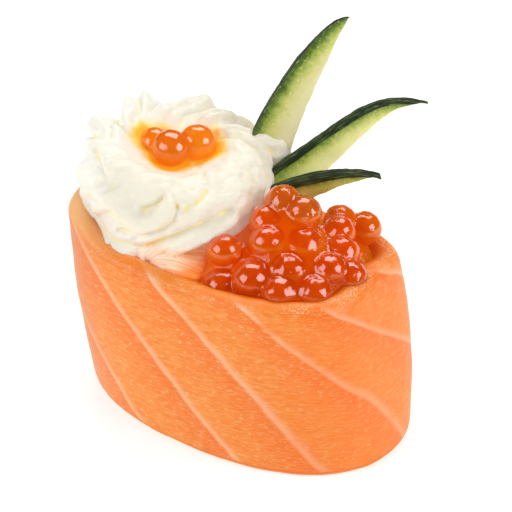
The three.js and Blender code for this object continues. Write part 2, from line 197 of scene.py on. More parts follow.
# %% Shader helper: finishes
class Finish:
    """A material that is built up node by node."""

    def __init__(self, name):
        self.material = bpy.data.materials.new(name)
        self.material.use_nodes = True
        self.tree = self.material.node_tree
        self.surface = self.tree.nodes["Principled BSDF"]

    def add(self, kind, settings, sockets, output=0):
        """Adds a node, sets it, fills its sockets and returns one of its outputs as a wire."""
        node = self.tree.nodes.new(kind)
        for name, value in settings.items():
            if name == "stops":
                ramp = node.color_ramp.elements
                while len(ramp) < len(value):
                    ramp.new(1)
                for stop, (position, shade) in zip(ramp, value):
                    stop.position = position
                    stop.color = shade
            else:
                setattr(node, name, value)
        for name, value in sockets.items():
            self.fill(node.inputs[name], value)
        return Wire(self, node.outputs[output])

    def fill(self, socket, value):
        if isinstance(value, Wire):
            self.tree.links.new(value.socket, socket)
        else:
            socket.default_value = value

    def set(self, **values):
        """Fills sockets of the surface; an underscore in a name stands for a space."""
        for name, value in values.items():
            self.fill(self.surface.inputs[name.replace("_", " ")], value)

    def fill_volume(self, shade, density):
        """Makes the inside a clear liquid of this colour; density is per metre."""
        inside = self.add("ShaderNodeVolumeAbsorption", {}, {"Color": shade, "Density": density})
        self.tree.links.new(inside.socket, self.tree.nodes["Material Output"].inputs["Volume"])

    def vector(self, x, y, z=0.0):
        return self.add("ShaderNodeCombineXYZ", {}, {"X": x, "Y": y, "Z": z})

    def split(self, vector):
        """The three numbers of a vector."""
        outputs = self.add("ShaderNodeSeparateXYZ", {}, {"Vector": vector}).socket.node.outputs
        return [Wire(self, output) for output in outputs]

    def place(self):
        """Where a point of the surface lies, in metres."""
        return self.add("ShaderNodeTexCoord", {}, {}, "Object")

    def stored(self, name):
        """The two numbers that a UV map keeps for the surface."""
        return self.split(self.add("ShaderNodeUVMap", {"uv_map": name}, {}))[:2]

    def ease(self, value, low, high):
        """0 below low and 1 above high, with a soft change between."""
        settings = {"interpolation_type": "SMOOTHSTEP"}
        return self.add("ShaderNodeMapRange", settings, {"Value": value, "From Min": low, "From Max": high})

    def noise(self, vector, scale, detail=2.0, roughness=0.5):
        """Cloudy noise from 0 to 1."""
        sockets = {"Vector": vector, "Scale": scale, "Detail": detail, "Roughness": roughness}
        return self.add("ShaderNodeTexNoise", {}, sockets)

    def bump(self, height, distance):
        """Relief of this depth in metres, as a normal."""
        return self.add("ShaderNodeBump", {}, {"Height": height, "Distance": distance})

    def blend(self, share, first, second):
        """A colour between two colours."""
        mixed = self.add("ShaderNodeMix", {"data_type": "RGBA"}, {"Factor": share}, 2)
        inputs = [socket for socket in mixed.socket.node.inputs if socket.type == "RGBA"]
        self.fill(inputs[0], first)
        self.fill(inputs[1], second)
        return mixed

    def paint(self, body, *coats):
        """Lays coats over a body colour; each coat is its share and its colour."""
        for share, shade in coats:
            body = self.blend(share, body, shade)
        return body


# %% [markdown]
# The floor is a wide pale sheet, so bright that only the contact shadow shows on it. A curved
# backdrop would do as well, but from this high up the camera sees nothing but floor.

# %% Floor
FLOOR_SIZE = 4
bpy.ops.object.select_all(action="DESELECT")
bpy.ops.mesh.primitive_plane_add(size=FLOOR_SIZE)
floor = bpy.context.object
floor.name = "floor"
paper = Finish("pale_paper")
paper.set(
    Base_Color=colour(200, 200, 200),
    Roughness=0.9,
    Specular_IOR_Level=0.1,
    Emission_Color=(1, 1, 1, 1),
    Emission_Strength=0.6,
)
floor.data.materials.append(paper.material)

# %% [markdown]
# A new piece starts as a primitive from Blender's own Add menu, because that gives a clean grid of
# faces with closed poles and seams. Its points are then moved to their places by a function of where
# they were, which is quick, exact and the same on each run. Dragging points by hand would do for one
# piece, but a formula can be changed and run again.


# %% Helpers that shape a piece
def start(name, operator, **settings):
    """Adds a primitive and names it."""
    bpy.ops.object.select_all(action="DESELECT")
    operator(**settings)
    piece = bpy.context.object
    piece.name = name
    piece.data.name = name
    return piece


def ball_grid(name, segments, rings):
    """A unit sphere, with the lane and the level, from 0 at the foot to 1 at the top, of its points."""
    ball = start(name, bpy.ops.mesh.primitive_uv_sphere_add, segments=segments, ring_count=rings)
    x, y, z = points_of(ball).T
    return ball, np.arctan2(y, x), 1 - np.arccos(np.clip(z, -1, 1)) / np.pi


def points_of(piece):
    """The piece's points as rows of x, y and z."""
    points = np.zeros(3 * len(piece.data.vertices))
    piece.data.vertices.foreach_get("co", points)
    return points.reshape(-1, 3)


def place_points(piece, points):
    """Moves the piece's points to these places, which are in millimetres."""
    piece.data.vertices.foreach_set("co", (points * MM).ravel())
    piece.data.update()


def join(pieces):
    """Makes one piece of several, named after the first."""
    bpy.ops.object.select_all(action="DESELECT")
    for piece in pieces:
        piece.select_set(True)
    bpy.context.view_layer.objects.active = pieces[0]
    bpy.ops.object.join()
    return pieces[0]


# %% Helpers that work on its surface
WEIGHT_LEVELS = 8


def modify(piece, kind, **settings):
    """Adds a modifier and applies it."""
    modifier = piece.modifiers.new(kind.lower(), kind)
    for name, value in settings.items():
        setattr(modifier, name, value)
    bpy.context.view_layer.objects.active = piece
    bpy.ops.object.modifier_apply(modifier=modifier.name)


def roughen(piece, feature_size, depth, weights=None):
    """Pushes the surface in and out with cloudy noise of this size and depth in millimetres."""
    clouds = bpy.data.textures.new(f"{piece.name}_clouds", "CLOUDS")
    clouds.noise_scale = feature_size * MM
    clouds.noise_depth = 3
    settings = dict(texture=clouds, strength=2 * depth * MM, mid_level=0.5)
    if weights is not None:
        group = piece.vertex_groups.new(name="rough")
        for level in range(1, WEIGHT_LEVELS + 1):
            chosen = np.flatnonzero(np.round(WEIGHT_LEVELS * weights) == level)
            group.add(chosen.tolist(), level / WEIGHT_LEVELS, "REPLACE")
        settings["vertex_group"] = group.name
    modify(piece, "DISPLACE", **settings)
    piece.vertex_groups.clear()


def soften(piece, angle=180):
    """Smooth shading, with a sharp edge where the surface turns by more than the angle."""
    bpy.ops.object.select_all(action="DESELECT")
    piece.select_set(True)
    bpy.context.view_layer.objects.active = piece
    bpy.ops.object.shade_smooth_by_angle(angle=math.radians(angle))


# %% Helpers that finish it
def store(piece, name, first, second=None):
    """Keeps one or two numbers of every point in a UV map, where a finish can read them."""
    layer = piece.data.uv_layers.new(name=name)
    corners = np.zeros(len(piece.data.loops), dtype=int)
    piece.data.loops.foreach_get("vertex_index", corners)
    if second is None:
        second = np.zeros_like(first)
    layer.data.foreach_set("uv", np.stack([first[corners], second[corners]], -1).ravel())


def finish_piece(piece, finish, slot, *nodes):
    """Gives the piece its material, its body and the nodes that it stands for; the slot is not used."""
    piece.data.materials.clear()
    piece.data.materials.append(finish.material)
    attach(piece, "root")
    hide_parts(*nodes)
    piece.data.calc_loop_triangles()
    low, high = np.min(points_of(piece), 0), np.max(points_of(piece), 0)
    span = [round(float(side), 1) for side in (high - low) * 1000]
    print(piece.name, "spans", span, "mm in", len(piece.data.loop_triangles), "triangles")


# %% [markdown]
# The band is one thick strip of salmon, wrapped round the rice with its end lapped over its start at
# the back. In plan its foot and its rim are two different ovals with flattened sides. It could be a
# curve with a bevel, but its thickness and its rim change all the way round, so it starts as a torus
# whose round section is redrawn, station by station, as wall, rim, lip and foot.

# %% Salmon band: driving sizes
FOOT_OVAL = dict(half_length=28.6, half_width=19.3, squareness=2.25, swell=-0.09, shift=1, yaw=-0.12)
RIM_OVAL = dict(half_length=26.7, half_width=17.2, squareness=3.3, swell=-0.05, shift=-2.2, yaw=0)
BAND_HEIGHT = 31.5
BAND_TILT = 0.7
BAND_THICKNESS = 4.3
BAND_END_THICKENING = 0.7
BAND_BELLY, BELLY_POWER = 0.4, 0.8
BAND_DENT, DENT_COUNT, DENT_TWIST = 0.25, 3, 2.4
BAND_LEAN, LEAN_POWER = 1, 5
FOOT_ROUND = 1.3
RIM_ROUND = 1.6
RIM_DROP, RIM_CURVE = 1.3, 0.75
RIM_WAVE = 0.25
LIP_ROUND, LIP_DEPTH, LIP_DROP = 0.9, 1.7, 0.56
LAP_TURN = 1.85
LAP_THICKNESS, LAP_EDGE_SHARE = 1.9, 0.35
LAP_TAPER = 0.85
LAP_SLANT = 0.16
LAP_EDGE_ROUND = 0.045
# Where round the band, rise in millimetres, and how narrow
RIM_BUMPS = [(0.85, -2.6, 2), (1.25, -1.8, 8), (3.4, 1.1, 2), (3.45, 3.2, 6)]


# %% Salmon band: its outline in plan
def oval_point(turn, share):
    """A point on the oval that lies at this share of the band's height."""
    oval = {key: mix(FOOT_OVAL[key], RIM_OVAL[key], share) for key in FOOT_OVAL}
    heading = np.arctan2(oval["half_width"] * np.sin(turn), oval["half_length"] * np.cos(turn))
    power = oval["squareness"]
    across = np.abs(np.cos(heading) / oval["half_length"]) ** power
    along = np.abs(np.sin(heading) / oval["half_width"]) ** power
    radius = (across + along) ** (-1 / power)
    x = radius * np.cos(heading)
    y = radius * np.sin(heading) * (1 + oval["swell"] * x / oval["half_length"])
    return np.stack(turned(x + oval["shift"], y, oval["yaw"]), -1)


def wall_point(turn, share, inset):
    """A point of the band's wall in plan, moved in from its outside by an inset."""
    slanted = turn + LAP_SLANT * share
    step = 0.01
    tangent = oval_point(slanted + step, share) - oval_point(slanted - step, share)
    outward = np.stack([tangent[..., 1], -tangent[..., 0]], -1)
    outward /= np.linalg.norm(outward, axis=-1, keepdims=True)
    belly = np.sin(np.pi * np.clip(share, 0, 1))
    dent = BAND_DENT * np.sin(DENT_COUNT * turn + DENT_TWIST * share) * belly
    swell = BAND_BELLY * np.maximum(0, belly) ** BELLY_POWER
    lean = BAND_LEAN * smooth(np.cos(turn)) * np.clip(share, 0, 1) ** LEAN_POWER
    return oval_point(slanted, share) + outward * (swell + dent - lean - inset)[..., None]


WALL_TURNS = np.linspace(-np.pi, np.pi, 361)


def wall_reach(centre, share, inset, heading):
    """How far the band's wall is from a centre in plan, in each of these headings."""
    away = wall_point(WALL_TURNS, share, inset) - centre
    headings = np.arctan2(away[:, 1], away[:, 0])
    order = np.argsort(headings)
    return np.interp(heading, headings[order], np.hypot(*away.T)[order], period=FULL_TURN)


# %% Salmon band: its rim and its thickness
def rim_height(turn):
    wave = RIM_WAVE * (np.sin(2 * turn + 0.6) + 0.6 * np.sin(5 * turn))
    bumps = sum(rise * smooth(1 - narrow * (1 - np.cos(turn - at))) for at, rise, narrow in RIM_BUMPS)
    return BAND_HEIGHT + BAND_TILT * np.cos(turn) + wave + bumps


def rim_beside(x, y):
    """The rim's height where a line from its middle through this place meets it."""
    half_length, half_width, shift = (RIM_OVAL[key] for key in ("half_length", "half_width", "shift"))
    return rim_height(np.arctan2(half_length * y, half_width * (x - shift)))


def band_thickness(turn):
    return BAND_THICKNESS + BAND_END_THICKENING * smooth(np.cos(turn))


def lap_step(turn):
    """How far the lapped end pushes the wall out, with a rounded edge."""
    before = np.mod(LAP_TURN - turn, FULL_TURN)
    edge = np.sqrt(1 - (1 - np.clip(before / LAP_EDGE_ROUND, 0, 1)) ** 2)
    return LAP_THICKNESS * (1 - smooth(before / LAP_TAPER)) * mix(LAP_EDGE_SHARE, 1, edge)


# %% Salmon band: its section
SECTION_STEPS = [30, 7, 12, 5, 14, 8, 7]


def band_section(turn):
    """Insets and heights of the points round the section, a row for each turn."""
    top = rim_height(turn)[:, None]
    thickness = band_thickness(turn)[:, None]
    outside = -lap_step(turn)[:, None]
    lip_top = top - RIM_DROP * LIP_DROP
    flat = np.zeros_like(top)
    quarter = np.pi / 2
    wall, rim, over, lip, inner, under, foot = (np.arange(n)[None, :] / n for n in SECTION_STEPS)
    stretches = [
        (outside + 0 * wall, mix(FOOT_ROUND, top - RIM_ROUND, wall)),
        (
            outside + RIM_ROUND * (1 - np.cos(quarter * rim)),
            top - RIM_ROUND * (1 - np.sin(quarter * rim)),
        ),
        (mix(outside + RIM_ROUND, thickness - LIP_ROUND, over), top - RIM_DROP * (RIM_CURVE * over) ** 2),
        (
            thickness - LIP_ROUND * (1 - np.sin(quarter * lip)),
            lip_top - LIP_DEPTH * (1 - np.cos(quarter * lip)),
        ),
        (thickness + 0 * inner, mix(lip_top - LIP_DEPTH, 0, inner)),
        (mix(thickness, outside + FOOT_ROUND, under), flat + 0 * under),
        (
            outside + FOOT_ROUND * (1 - np.sin(quarter * foot)),
            FOOT_ROUND * (1 - np.cos(quarter * foot)) + flat,
        ),
    ]
    return [np.concatenate([stretch[axis] for stretch in stretches], 1) for axis in (0, 1)]


# %% Salmon band: the mesh
BAND_STATIONS = 256
BAND_END_GAP = 0.004
BAND_UNEVEN = [(7, 0.16), (1.8, 0.035)]
BAND_SHARP = 50

band_turns = LAP_TURN + np.linspace(BAND_END_GAP, FULL_TURN - BAND_END_GAP, BAND_STATIONS)
insets, heights = band_section(band_turns)
section_points = insets.shape[1]
band = start(
    "salmon_wrap",
    bpy.ops.mesh.primitive_torus_add,
    major_segments=BAND_STATIONS,
    minor_segments=section_points,
)
turn_grid = np.repeat(band_turns[:, None], section_points, 1)
plan = wall_point(turn_grid, heights / BAND_HEIGHT, insets)
place_points(band, np.concatenate([plan, heights[..., None]], -1).reshape(-1, 3))
for size, depth in BAND_UNEVEN:
    roughen(band, size, depth)
soften(band, BAND_SHARP)

# %% [markdown]
# Salmon flesh is a stack of muscle blocks with thin sheets of fat between them. Cut across, the
# sheets show as pale lines about 10 mm apart that slant down the wall, each with deeper orange just
# below it, and the muscle fibres run nearly level between them. A painted picture could be wrapped
# round the strip, but noise and counted lines need no picture and stay sharp close by. A pattern
# like that follows the strip and not the room, so every point stores how far round and how far up
# the strip it lies, and a second map keeps the count of fat lines and how far past the top of the
# wall it lies, in millimetres over the rim.

# %% Salmon band: where the fat lines run
FAT_SLANT, FAT_LEVEL = 1.16, BAND_HEIGHT + 3
FAT_BULGE, BULGE_START, BULGE_RUN = 4.5, 8, 36
FAT_LINES = [-7, 11.3, 25.3, 41.7, 57.5]
FAT_SPACING = 16
FAT_SPARE = range(1, 5)

around = band_turns - FULL_TURN
travel = np.linalg.norm(np.diff(wall_point(around, 0.5, 0), axis=0), axis=1)
travel = np.concatenate([[0], np.cumsum(travel)])
travel -= np.interp(-np.pi / 2, around, travel)
strip_along = np.repeat(travel[:, None], section_points, 1)
section_steps = np.hypot(np.diff(insets, axis=1), np.diff(heights, axis=1))
strip_up = FOOT_ROUND + np.concatenate([0 * insets[:, :1], np.cumsum(section_steps, 1)], 1)
lifted = strip_along + FAT_SLANT * np.minimum(strip_up, FAT_LEVEL)
bulge = FAT_BULGE * smooth((lifted - BULGE_START) / BULGE_RUN)
bulge = bulge * np.sin(np.pi * np.clip(strip_up / BAND_HEIGHT, 0, 1))
lines_before = [FAT_LINES[0] - FAT_SPACING * count for count in reversed(FAT_SPARE)]
lines_after = [FAT_LINES[-1] + FAT_SPACING * count for count in FAT_SPARE]
line_places = lines_before + FAT_LINES + lines_after
fat_count = np.interp(lifted - bulge, line_places, np.arange(len(line_places)))
past_wall = strip_up - rim_height(around)[:, None] + RIM_ROUND
store(band, "strip", strip_along.ravel(), strip_up.ravel())
store(band, "fat", fat_count.ravel(), past_wall.ravel())
print("the strip is", round(float(np.ptp(travel))), "mm long")


# %% Salmon flesh
def salmon_finish():
    flesh = Finish("salmon_flesh")
    along, up = flesh.stored("strip")
    count, past = flesh.stored("fat")
    x = flesh.split(flesh.place())[0]

    def texture(along_scale, up_scale, offset, detail, roughness=0.5):
        """Noise on the strip, with this many features per millimetre along it and up it."""
        spot = flesh.vector(along * along_scale, up * up_scale, offset)
        return flesh.noise(spot, 1.0, detail, roughness)

    wander = texture(0.09, 0.09, 0.0, 2.0)
    patchy = texture(0.12, 0.12, 7.0, 2.0)
    mottle = texture(0.35, 0.35, 11.0, 3.0)
    fibres = texture(0.16, 1.5, 0.0, 4.0, 0.6)
    threads = texture(0.5, 5.0, 3.0, 3.0, 0.6)
    grains = texture(3.2, 3.2, 5.0, 2.0)
    flecks = texture(1.1, 2.6, 17.0, 2.0)

    counted = count + (wander - 0.5) * 0.16
    offset = (counted + 0.5).fraction() - 0.5
    sheet = flesh.ease(offset, -0.055, 0.0) * (1 - flesh.ease(offset, 0.0, 0.12))
    line = sheet * flesh.ease(patchy, 0.15, 0.5)

    rim = flesh.ease(past, 0.8, 2.4)
    corner = flesh.ease(past, -0.4, 1.6) * (1 - flesh.ease(past, 3.0, 5.0))
    inner_rim = flesh.ease(past, 0.8, 1.6) * (1 - flesh.ease(past, 3.0, 3.8))
    wet = flesh.ease(past + (mottle - 0.5) * 1.5, 2.2, 3.4) * flesh.ease(x, -14 * MM, 2 * MM)
    # Pale specks on the rim's outer corner are painted sparkle highlights.
    specks = flesh.ease(grains, 0.54, 0.64) * corner * flesh.ease(mottle, 0.42, 0.6)
    juicy = rim * flesh.ease(x, -6 * MM, 6 * MM) * (1 - flesh.ease(x, 18 * MM, 24 * MM))
    glints = flesh.ease(grains, 0.54, 0.6) * (inner_rim * flesh.ease(mottle, 0.38, 0.52))
    glints = glints * flesh.ease(x, 13 * MM, 18 * MM)
    left_end = 1 - flesh.ease(x, -30 * MM, -12 * MM)
    # Lighter along the rim's outer corner at the left end: a painted highlight where the edge catches the
    # light.
    left_corner_highlight = corner * (1 - flesh.ease(x, -26 * MM, -14 * MM))
    right_end = flesh.ease(x, 6 * MM, 24 * MM)

    deep = colour(246, 114, 20)
    clouded = flesh.ease(mottle + (fibres - 0.5) * 1.6, 0.3, 0.7)
    body = flesh.paint(
        flesh.blend(clouded, colour(248, 136, 36), colour(250, 151, 60)),
        (flesh.ease(counted.fraction(), 0.35, 1.0) * 0.75, deep),
        (flesh.ease(threads, 0.5, 0.66) * 0.65, colour(255, 176, 102)),
        ((1 - flesh.ease(threads, 0.34, 0.48)) * 0.55, colour(240, 108, 16)),
        (flesh.ease(flecks, 0.6, 0.68) * 0.6, colour(255, 204, 142)),
        (line * (0.75 + 0.25 * flesh.ease(up, 24.0, 30.0)), colour(253, 190, 144)),
        (rim * 0.75, flesh.blend(mottle, colour(248, 136, 30), colour(250, 152, 62))),
        (wet * 0.9, colour(246, 142, 10)),
        (specks * 0.7, colour(255, 218, 172)),
        (juicy * 0.55, colour(244, 124, 22)),
        (glints * 0.9, colour(255, 236, 190)),
        (left_end * 0.75, colour(210, 126, 72)),
        (left_corner_highlight * 0.85, colour(255, 194, 128)),
        (right_end * 0.35, deep),
    )
    relief = fibres * 0.5 + threads * 0.25 + grains * 0.25 - line * 0.4
    flesh.set(
        Base_Color=body,
        Roughness=0.42 + 0.2 * mottle,
        IOR=1.4,
        Subsurface_Weight=0.35,
        Subsurface_Radius=(1.0, 0.35, 0.15),
        Subsurface_Scale=2.5 * MM,
        Coat_Weight=0.14,
        Coat_Roughness=0.2,
        Normal=flesh.bump(relief, 0.16 * MM),
    )
    return flesh


finish_piece(band, salmon_finish(), "salmon", "salmon_band")

# %% [markdown]
# The soft cheese was piped through a star nozzle, so ridges spiral up from its foot and run into a
# crater on top. A star could be swept up a spiral, but its turns would cut through each other, and a
# sculpted lump would lose the even ridges. A sphere gives the closed surface instead: its lanes
# become the lines that spiral and its levels follow a mean profile from the foot to the crater, and
# ridges and hollows are pushed out along the profile's normal.

# %% Rosette: driving sizes
RICE_TOP = 27.5
GAP = 0.3
ROSETTE_MIDDLE = np.array([-14.8, 2])
ROSETTE_PROFILE = [
    (13, RICE_TOP + GAP),
    (14.3, 31.2),
    (15.2, 35),
    (15.2, 39.4),
    (13.6, 43.2),
    (10, 44.4),
    (6.8, 42.6),
    (3, 41),
    (0, 40.8),
]
FOOT_RADIUS = ROSETTE_PROFILE[0][0]
CRATER_HEIGHT = ROSETTE_PROFILE[-1][1]
ROSETTE_LOBES = 11
ROSETTE_GROOVE = 3
RIDGE_MEAN = 0.5
RIDGE_SHARPNESS = 0.5
RIDGE_LEAN = 0.55
RIDGE_START, RIDGE_END, RIDGE_FADE = 0.16, 0.9, 0.45
TOOTH_RELIEF, TEETH_PER_RIDGE, TOOTH_MEAN = 0.7, 1.5, 0.6
ROSETTE_TWIST = 2.4
ROSETTE_WANDER = 0.13
ROSETTE_CALM, CALM_TURN = 0.75, -0.7
LEFT_CALM, LEFT_CALM_TURN, LEFT_CALM_NARROW = 0.8, -2.45, 6
ROSETTE_SLUMP, SLUMP_TURN = 3, 0.2
ROSETTE_SWELL, SWELL_TURN = 0.5, -0.63

# %% [markdown]
# A real rosette is not regular: where the cheese folded over itself there are sharp creases with a
# soft rope of cheese beside them. Each such mark is a short line over the surface, with how far it
# pushes the surface out, how wide it is, and its points as degrees round the rosette and the share
# of the way from foot to crater.

# %% Rosette: its folds
FOLDS = [
    (1.0, 2.0, [(-147, 0.31), (-134, 0.19)]),
    (-1.5, 0.5, [(-86, 0.14), (-76, 0.2), (-64, 0.28), (-50, 0.35), (-38, 0.4), (-24, 0.42)]),
    (0.7, 1.3, [(-84, 0.08), (-64, 0.2), (-44, 0.31), (-24, 0.36)]),
    (-1.7, 0.6, [(-67, 0.52), (-72, 0.46), (-79, 0.42)]),
    (-0.7, 0.4, [(-62, 0.54), (-58, 0.48)]),
    (-0.9, 0.4, [(-55, 0.45), (-46, 0.49), (-36, 0.54)]),
    (-1.1, 0.45, [(-94, 0.27), (-80, 0.29), (-68, 0.34), (-60, 0.41), (-58, 0.475)]),
    (-0.8, 0.4, [(-102, 0.33), (-90, 0.31)]),
    (-0.6, 0.35, [(-84, 0.25), (-76, 0.3)]),
    (0.9, 1.3, [(-63, 0.53), (-64, 0.46), (-70, 0.4), (-80, 0.36), (-95, 0.37), (-106, 0.41)]),
    (0.8, 1.5, [(-50, 0.4), (-40, 0.46), (-28, 0.5)]),
    (-0.9, 0.45, [(-140, 0.525), (-124, 0.525), (-114, 0.5)]),
    (0.6, 1.2, [(-136, 0.56), (-120, 0.56), (-106, 0.53)]),
    (-1.2, 2.4, [(-102, 0.47), (-88, 0.455)]),
    (-0.6, 0.4, [(-24, 0.7), (-34, 0.565)]),
    (-0.7, 0.45, [(-128, 0.3), (-114, 0.36), (-106, 0.45)]),
    (-0.7, 0.45, [(-140, 0.22), (-122, 0.24), (-106, 0.2)]),
    (-1.3, 0.6, [(147, 0.52), (158, 0.632), (174, 0.667)]),
    (-1.1, 0.5, [(166, 0.5), (170, 0.54), (182, 0.556)]),
    (-1.0, 0.5, [(186, 0.574), (198, 0.609), (208, 0.614)]),
    (-1.1, 2.0, [(122, 0.6), (108, 0.58)]),
    (2.0, 1.2, [(133, 0.38), (141, 0.5)]),
    (1.0, 0.9, [(149, 0.38), (154, 0.5)]),
    (1.5, 1.1, [(183, 0.38), (188.5, 0.46)]),
    (1.6, 1.3, [(106, 0.42), (99, 0.5)]),
]
# Millimetres of surface in a degree round the rosette and in its whole rise
FOLD_SCALE = np.array([0.25, 31])


def line_distance(points, line):
    """How far points in a plane lie from a line of straight stretches."""
    nearest = np.full(len(points), np.inf)
    for first, second in zip(line[:-1], line[1:]):
        reach = second - first
        share = np.clip((points - first) @ reach / (reach @ reach), 0, 1)
        gap = points - first - share[:, None] * reach
        nearest = np.minimum(nearest, np.hypot(gap[:, 0], gap[:, 1]))
    return nearest


def fold_relief(turn, share):
    """How far the folds push the surface out, in millimetres."""
    relief = np.zeros(len(turn))
    for depth, width, line in FOLDS:
        first = line[0][0]
        around = (np.degrees(turn) - first + 180) % 360 - 180 + first
        places = np.stack([around, share], -1) * FOLD_SCALE
        away = line_distance(places, np.array(line) * FOLD_SCALE)
        relief += depth * np.exp(-((away / width) ** 2))
    return relief


# %% Rosette: its surface
def curve_through(points, share):
    """A smooth curve through the points, from the first at 0 to the last at 1."""
    points = np.array(points, dtype=float)
    last = len(points) - 1
    reach = np.clip(share, 0, 1) * last
    index = np.minimum(reach.astype(int), last - 1)
    local = (reach - index)[..., None]
    before, first, second, after = (points[np.clip(index + shift, 0, last)] for shift in (-1, 0, 1, 2))
    leave = (second - before) * 0.5
    arrive = (after - first) * 0.5
    cubic = (2 * first - 2 * second + leave + arrive) * local**3
    square = (-3 * first + 3 * second - 2 * leave - arrive) * local**2
    return cubic + square + leave * local + first


def ridge_relief(lane, turn, share):
    """How far the ridges push the surface out: calmer at the front right and at the left."""
    phase = ROSETTE_LOBES * lane
    leaning = phase + RIDGE_LEAN * np.sin(phase)
    rounded, sharp = np.abs(np.sin(leaning / 2)), 1 - np.abs(np.cos(leaning / 2))
    ridge = mix(rounded, sharp, RIDGE_SHARPNESS) - RIDGE_MEAN
    tooth_phase = TEETH_PER_RIDGE * phase + 0.8 + 2 * np.sin(2 * lane + 5 * share)
    teeth = np.abs(np.sin(tooth_phase)) - TOOTH_MEAN
    calm = 1 - ROSETTE_CALM * smooth(0.2 + 1.3 * np.cos(turn - CALM_TURN))
    at_left = smooth(1 - LEFT_CALM_NARROW * (1 - np.cos(turn - LEFT_CALM_TURN)))
    calm = calm * (1 - LEFT_CALM * at_left)
    return (ROSETTE_GROOVE * ridge + TOOTH_RELIEF * teeth) * calm


def rosette_point(lane, share):
    """A point of the rosette in millimetres."""
    mean = curve_through(ROSETTE_PROFILE, share)
    step = 0.001
    ahead = curve_through(ROSETTE_PROFILE, share + step) - curve_through(ROSETTE_PROFILE, share - step)
    ahead /= np.linalg.norm(ahead, axis=-1, keepdims=True)
    turn = lane - ROSETTE_TWIST * (1 - share) ** 2 + ROSETTE_WANDER * np.sin(2 * lane + 0.7)
    reach = smooth(share / RIDGE_START) * smooth((RIDGE_END - share) / RIDGE_FADE)
    swell = ROSETTE_SWELL * np.cos(turn - SWELL_TURN)
    push = reach * (ridge_relief(lane, turn, share) + swell) + fold_relief(turn, share)
    radius = np.maximum(0, mean[..., 0] + ahead[..., 1] * push)
    side = 0.5 + 0.5 * np.cos(turn - SLUMP_TURN)
    slump = ROSETTE_SLUMP * side * smooth(share / 0.6) * (radius / FOOT_RADIUS)
    height = mean[..., 1] - ahead[..., 0] * push - slump
    x = ROSETTE_MIDDLE[0] + radius * np.cos(turn)
    y = ROSETTE_MIDDLE[1] + radius * np.sin(turn)
    return np.stack([x, y, height], -1)


# %% Rosette: the mesh, kept inside the salmon below the rim
FOOT_LEVEL = 0.05
ROSETTE_INSET, INSET_LEVEL = 1.2, 0.98

rosette, lane, level = ball_grid("cream_piped", 420, 160)
spiral = rosette_point(lane, np.clip((level - FOOT_LEVEL) / (1 - FOOT_LEVEL), 0, 1))
spread = np.clip(level / FOOT_LEVEL, 0, 1)[:, None]
from_middle = mix(ROSETTE_MIDDLE, spiral[:, :2], spread) - ROSETTE_MIDDLE
spiral[:, :2] = from_middle + ROSETTE_MIDDLE
heading = np.arctan2(from_middle[:, 1], from_middle[:, 0])
room = wall_reach(ROSETTE_MIDDLE, INSET_LEVEL, ROSETTE_INSET, heading)
fit = np.minimum(1, room / np.maximum(np.hypot(*from_middle.T), 0.01))
sunk = smooth(rim_beside(*spiral[:, :2].T) + 1 - spiral[:, 2])
spiral[:, :2] = from_middle * mix(1, fit, sunk)[:, None] + ROSETTE_MIDDLE
place_points(rosette, spiral)
print("the rosette is", round(float(np.ptp(spiral[:, 2])), 1), "mm high")

# %% [markdown]
# Some of the cheese was dragged from the rosette's foot over the rim and towards the roe, in a thin
# layer with fanned streaks. It is a second closed shape, a cushion with an uneven outline. Joining
# the two and remeshing them into one skin melts them together, as soft cheese does. A union of the
# two shapes would leave a hard seam.

# %% Smear: driving sizes
SMEAR_CENTRE = np.array([-12, -3])
SMEAR_OUTLINE = [
    (-27, -6),
    (-25.6, -10.6),
    (-23.6, -12.7),
    (-22.4, -11.9),
    (-20.4, -13.8),
    (-18.3, -15.3),
    (-17.7, -14.4),
    (-16.7, -15.3),
    (-15, -15.6),
    (-13.7, -14.9),
    (-12.8, -13.6),
    (-11.5, -14.1),
    (-11.1, -13),
    (-8.6, -14),
    (-5.2, -14),
    (-1.7, -13),
    (-2, -8.5),
    (-3.6, -3),
    (-3.4, 3),
    (-4, 9),
    (-12, 13),
    (-21, 11),
    (-25.5, 4),
    (-27, -6),
]
SMEAR_TOP, SMEAR_OVER_RIM = 32.5, 0.7
SMEAR_EDGE, SMEAR_EDGE_SHARE = 1.5, 0.14
SMEAR_THINNING = 1.1
FAN_X, FAN_Y = -12.7, -14.6
FAN_STREAKS, FAN_RELIEF = 20, 0.6


# %% Smear: the mesh
def smear_top(x, y, out):
    """The height of its upper side: streaks that fan out, a round edge, thinner near the roe."""
    fan = np.arctan2(y - FAN_Y, x - FAN_X)
    from_pole = np.hypot(x - FAN_X, y - FAN_Y)
    ribs = np.abs(np.sin(0.5 * FAN_STREAKS * fan + 0.6)) - 0.6 + 0.35 * np.sin(2.3 * FAN_STREAKS * fan)
    fade = smooth((from_pole - 1.5) / 4) * smooth((x + 15) / 3)
    past_edge = np.clip((out - (1 - SMEAR_EDGE_SHARE)) / SMEAR_EDGE_SHARE, 0, 1)
    edge = np.sqrt(np.clip(1 - past_edge**2, 0, 1))
    thinning = SMEAR_THINNING * smooth((x + 9) / 7)
    return SMEAR_TOP + FAN_RELIEF * ribs * fade - SMEAR_EDGE * (1 - edge) - thinning


smear, lane, level = ball_grid("cream_smear", 300, 110)
outline = curve_through(SMEAR_OUTLINE, lane / FULL_TURN + 0.5)
out = np.clip(2.6 * np.minimum(level, 1 - level), 0, 1)
x, y = (SMEAR_CENTRE + (outline - SMEAR_CENTRE) * out[:, None]).T
lift = np.maximum(0, rim_beside(x, y) + SMEAR_OVER_RIM - SMEAR_TOP) * smooth((out - 0.3) / 0.4)
bottom = mix(RICE_TOP + GAP, SMEAR_TOP - SMEAR_EDGE, smooth((out - 0.94) / 0.06))
z = np.where(level > 0.5, smear_top(x, y, out), bottom) + lift
place_points(smear, np.column_stack([x, y, z]))
print("the smear reaches up to", round(float(z.max()), 1), "mm")

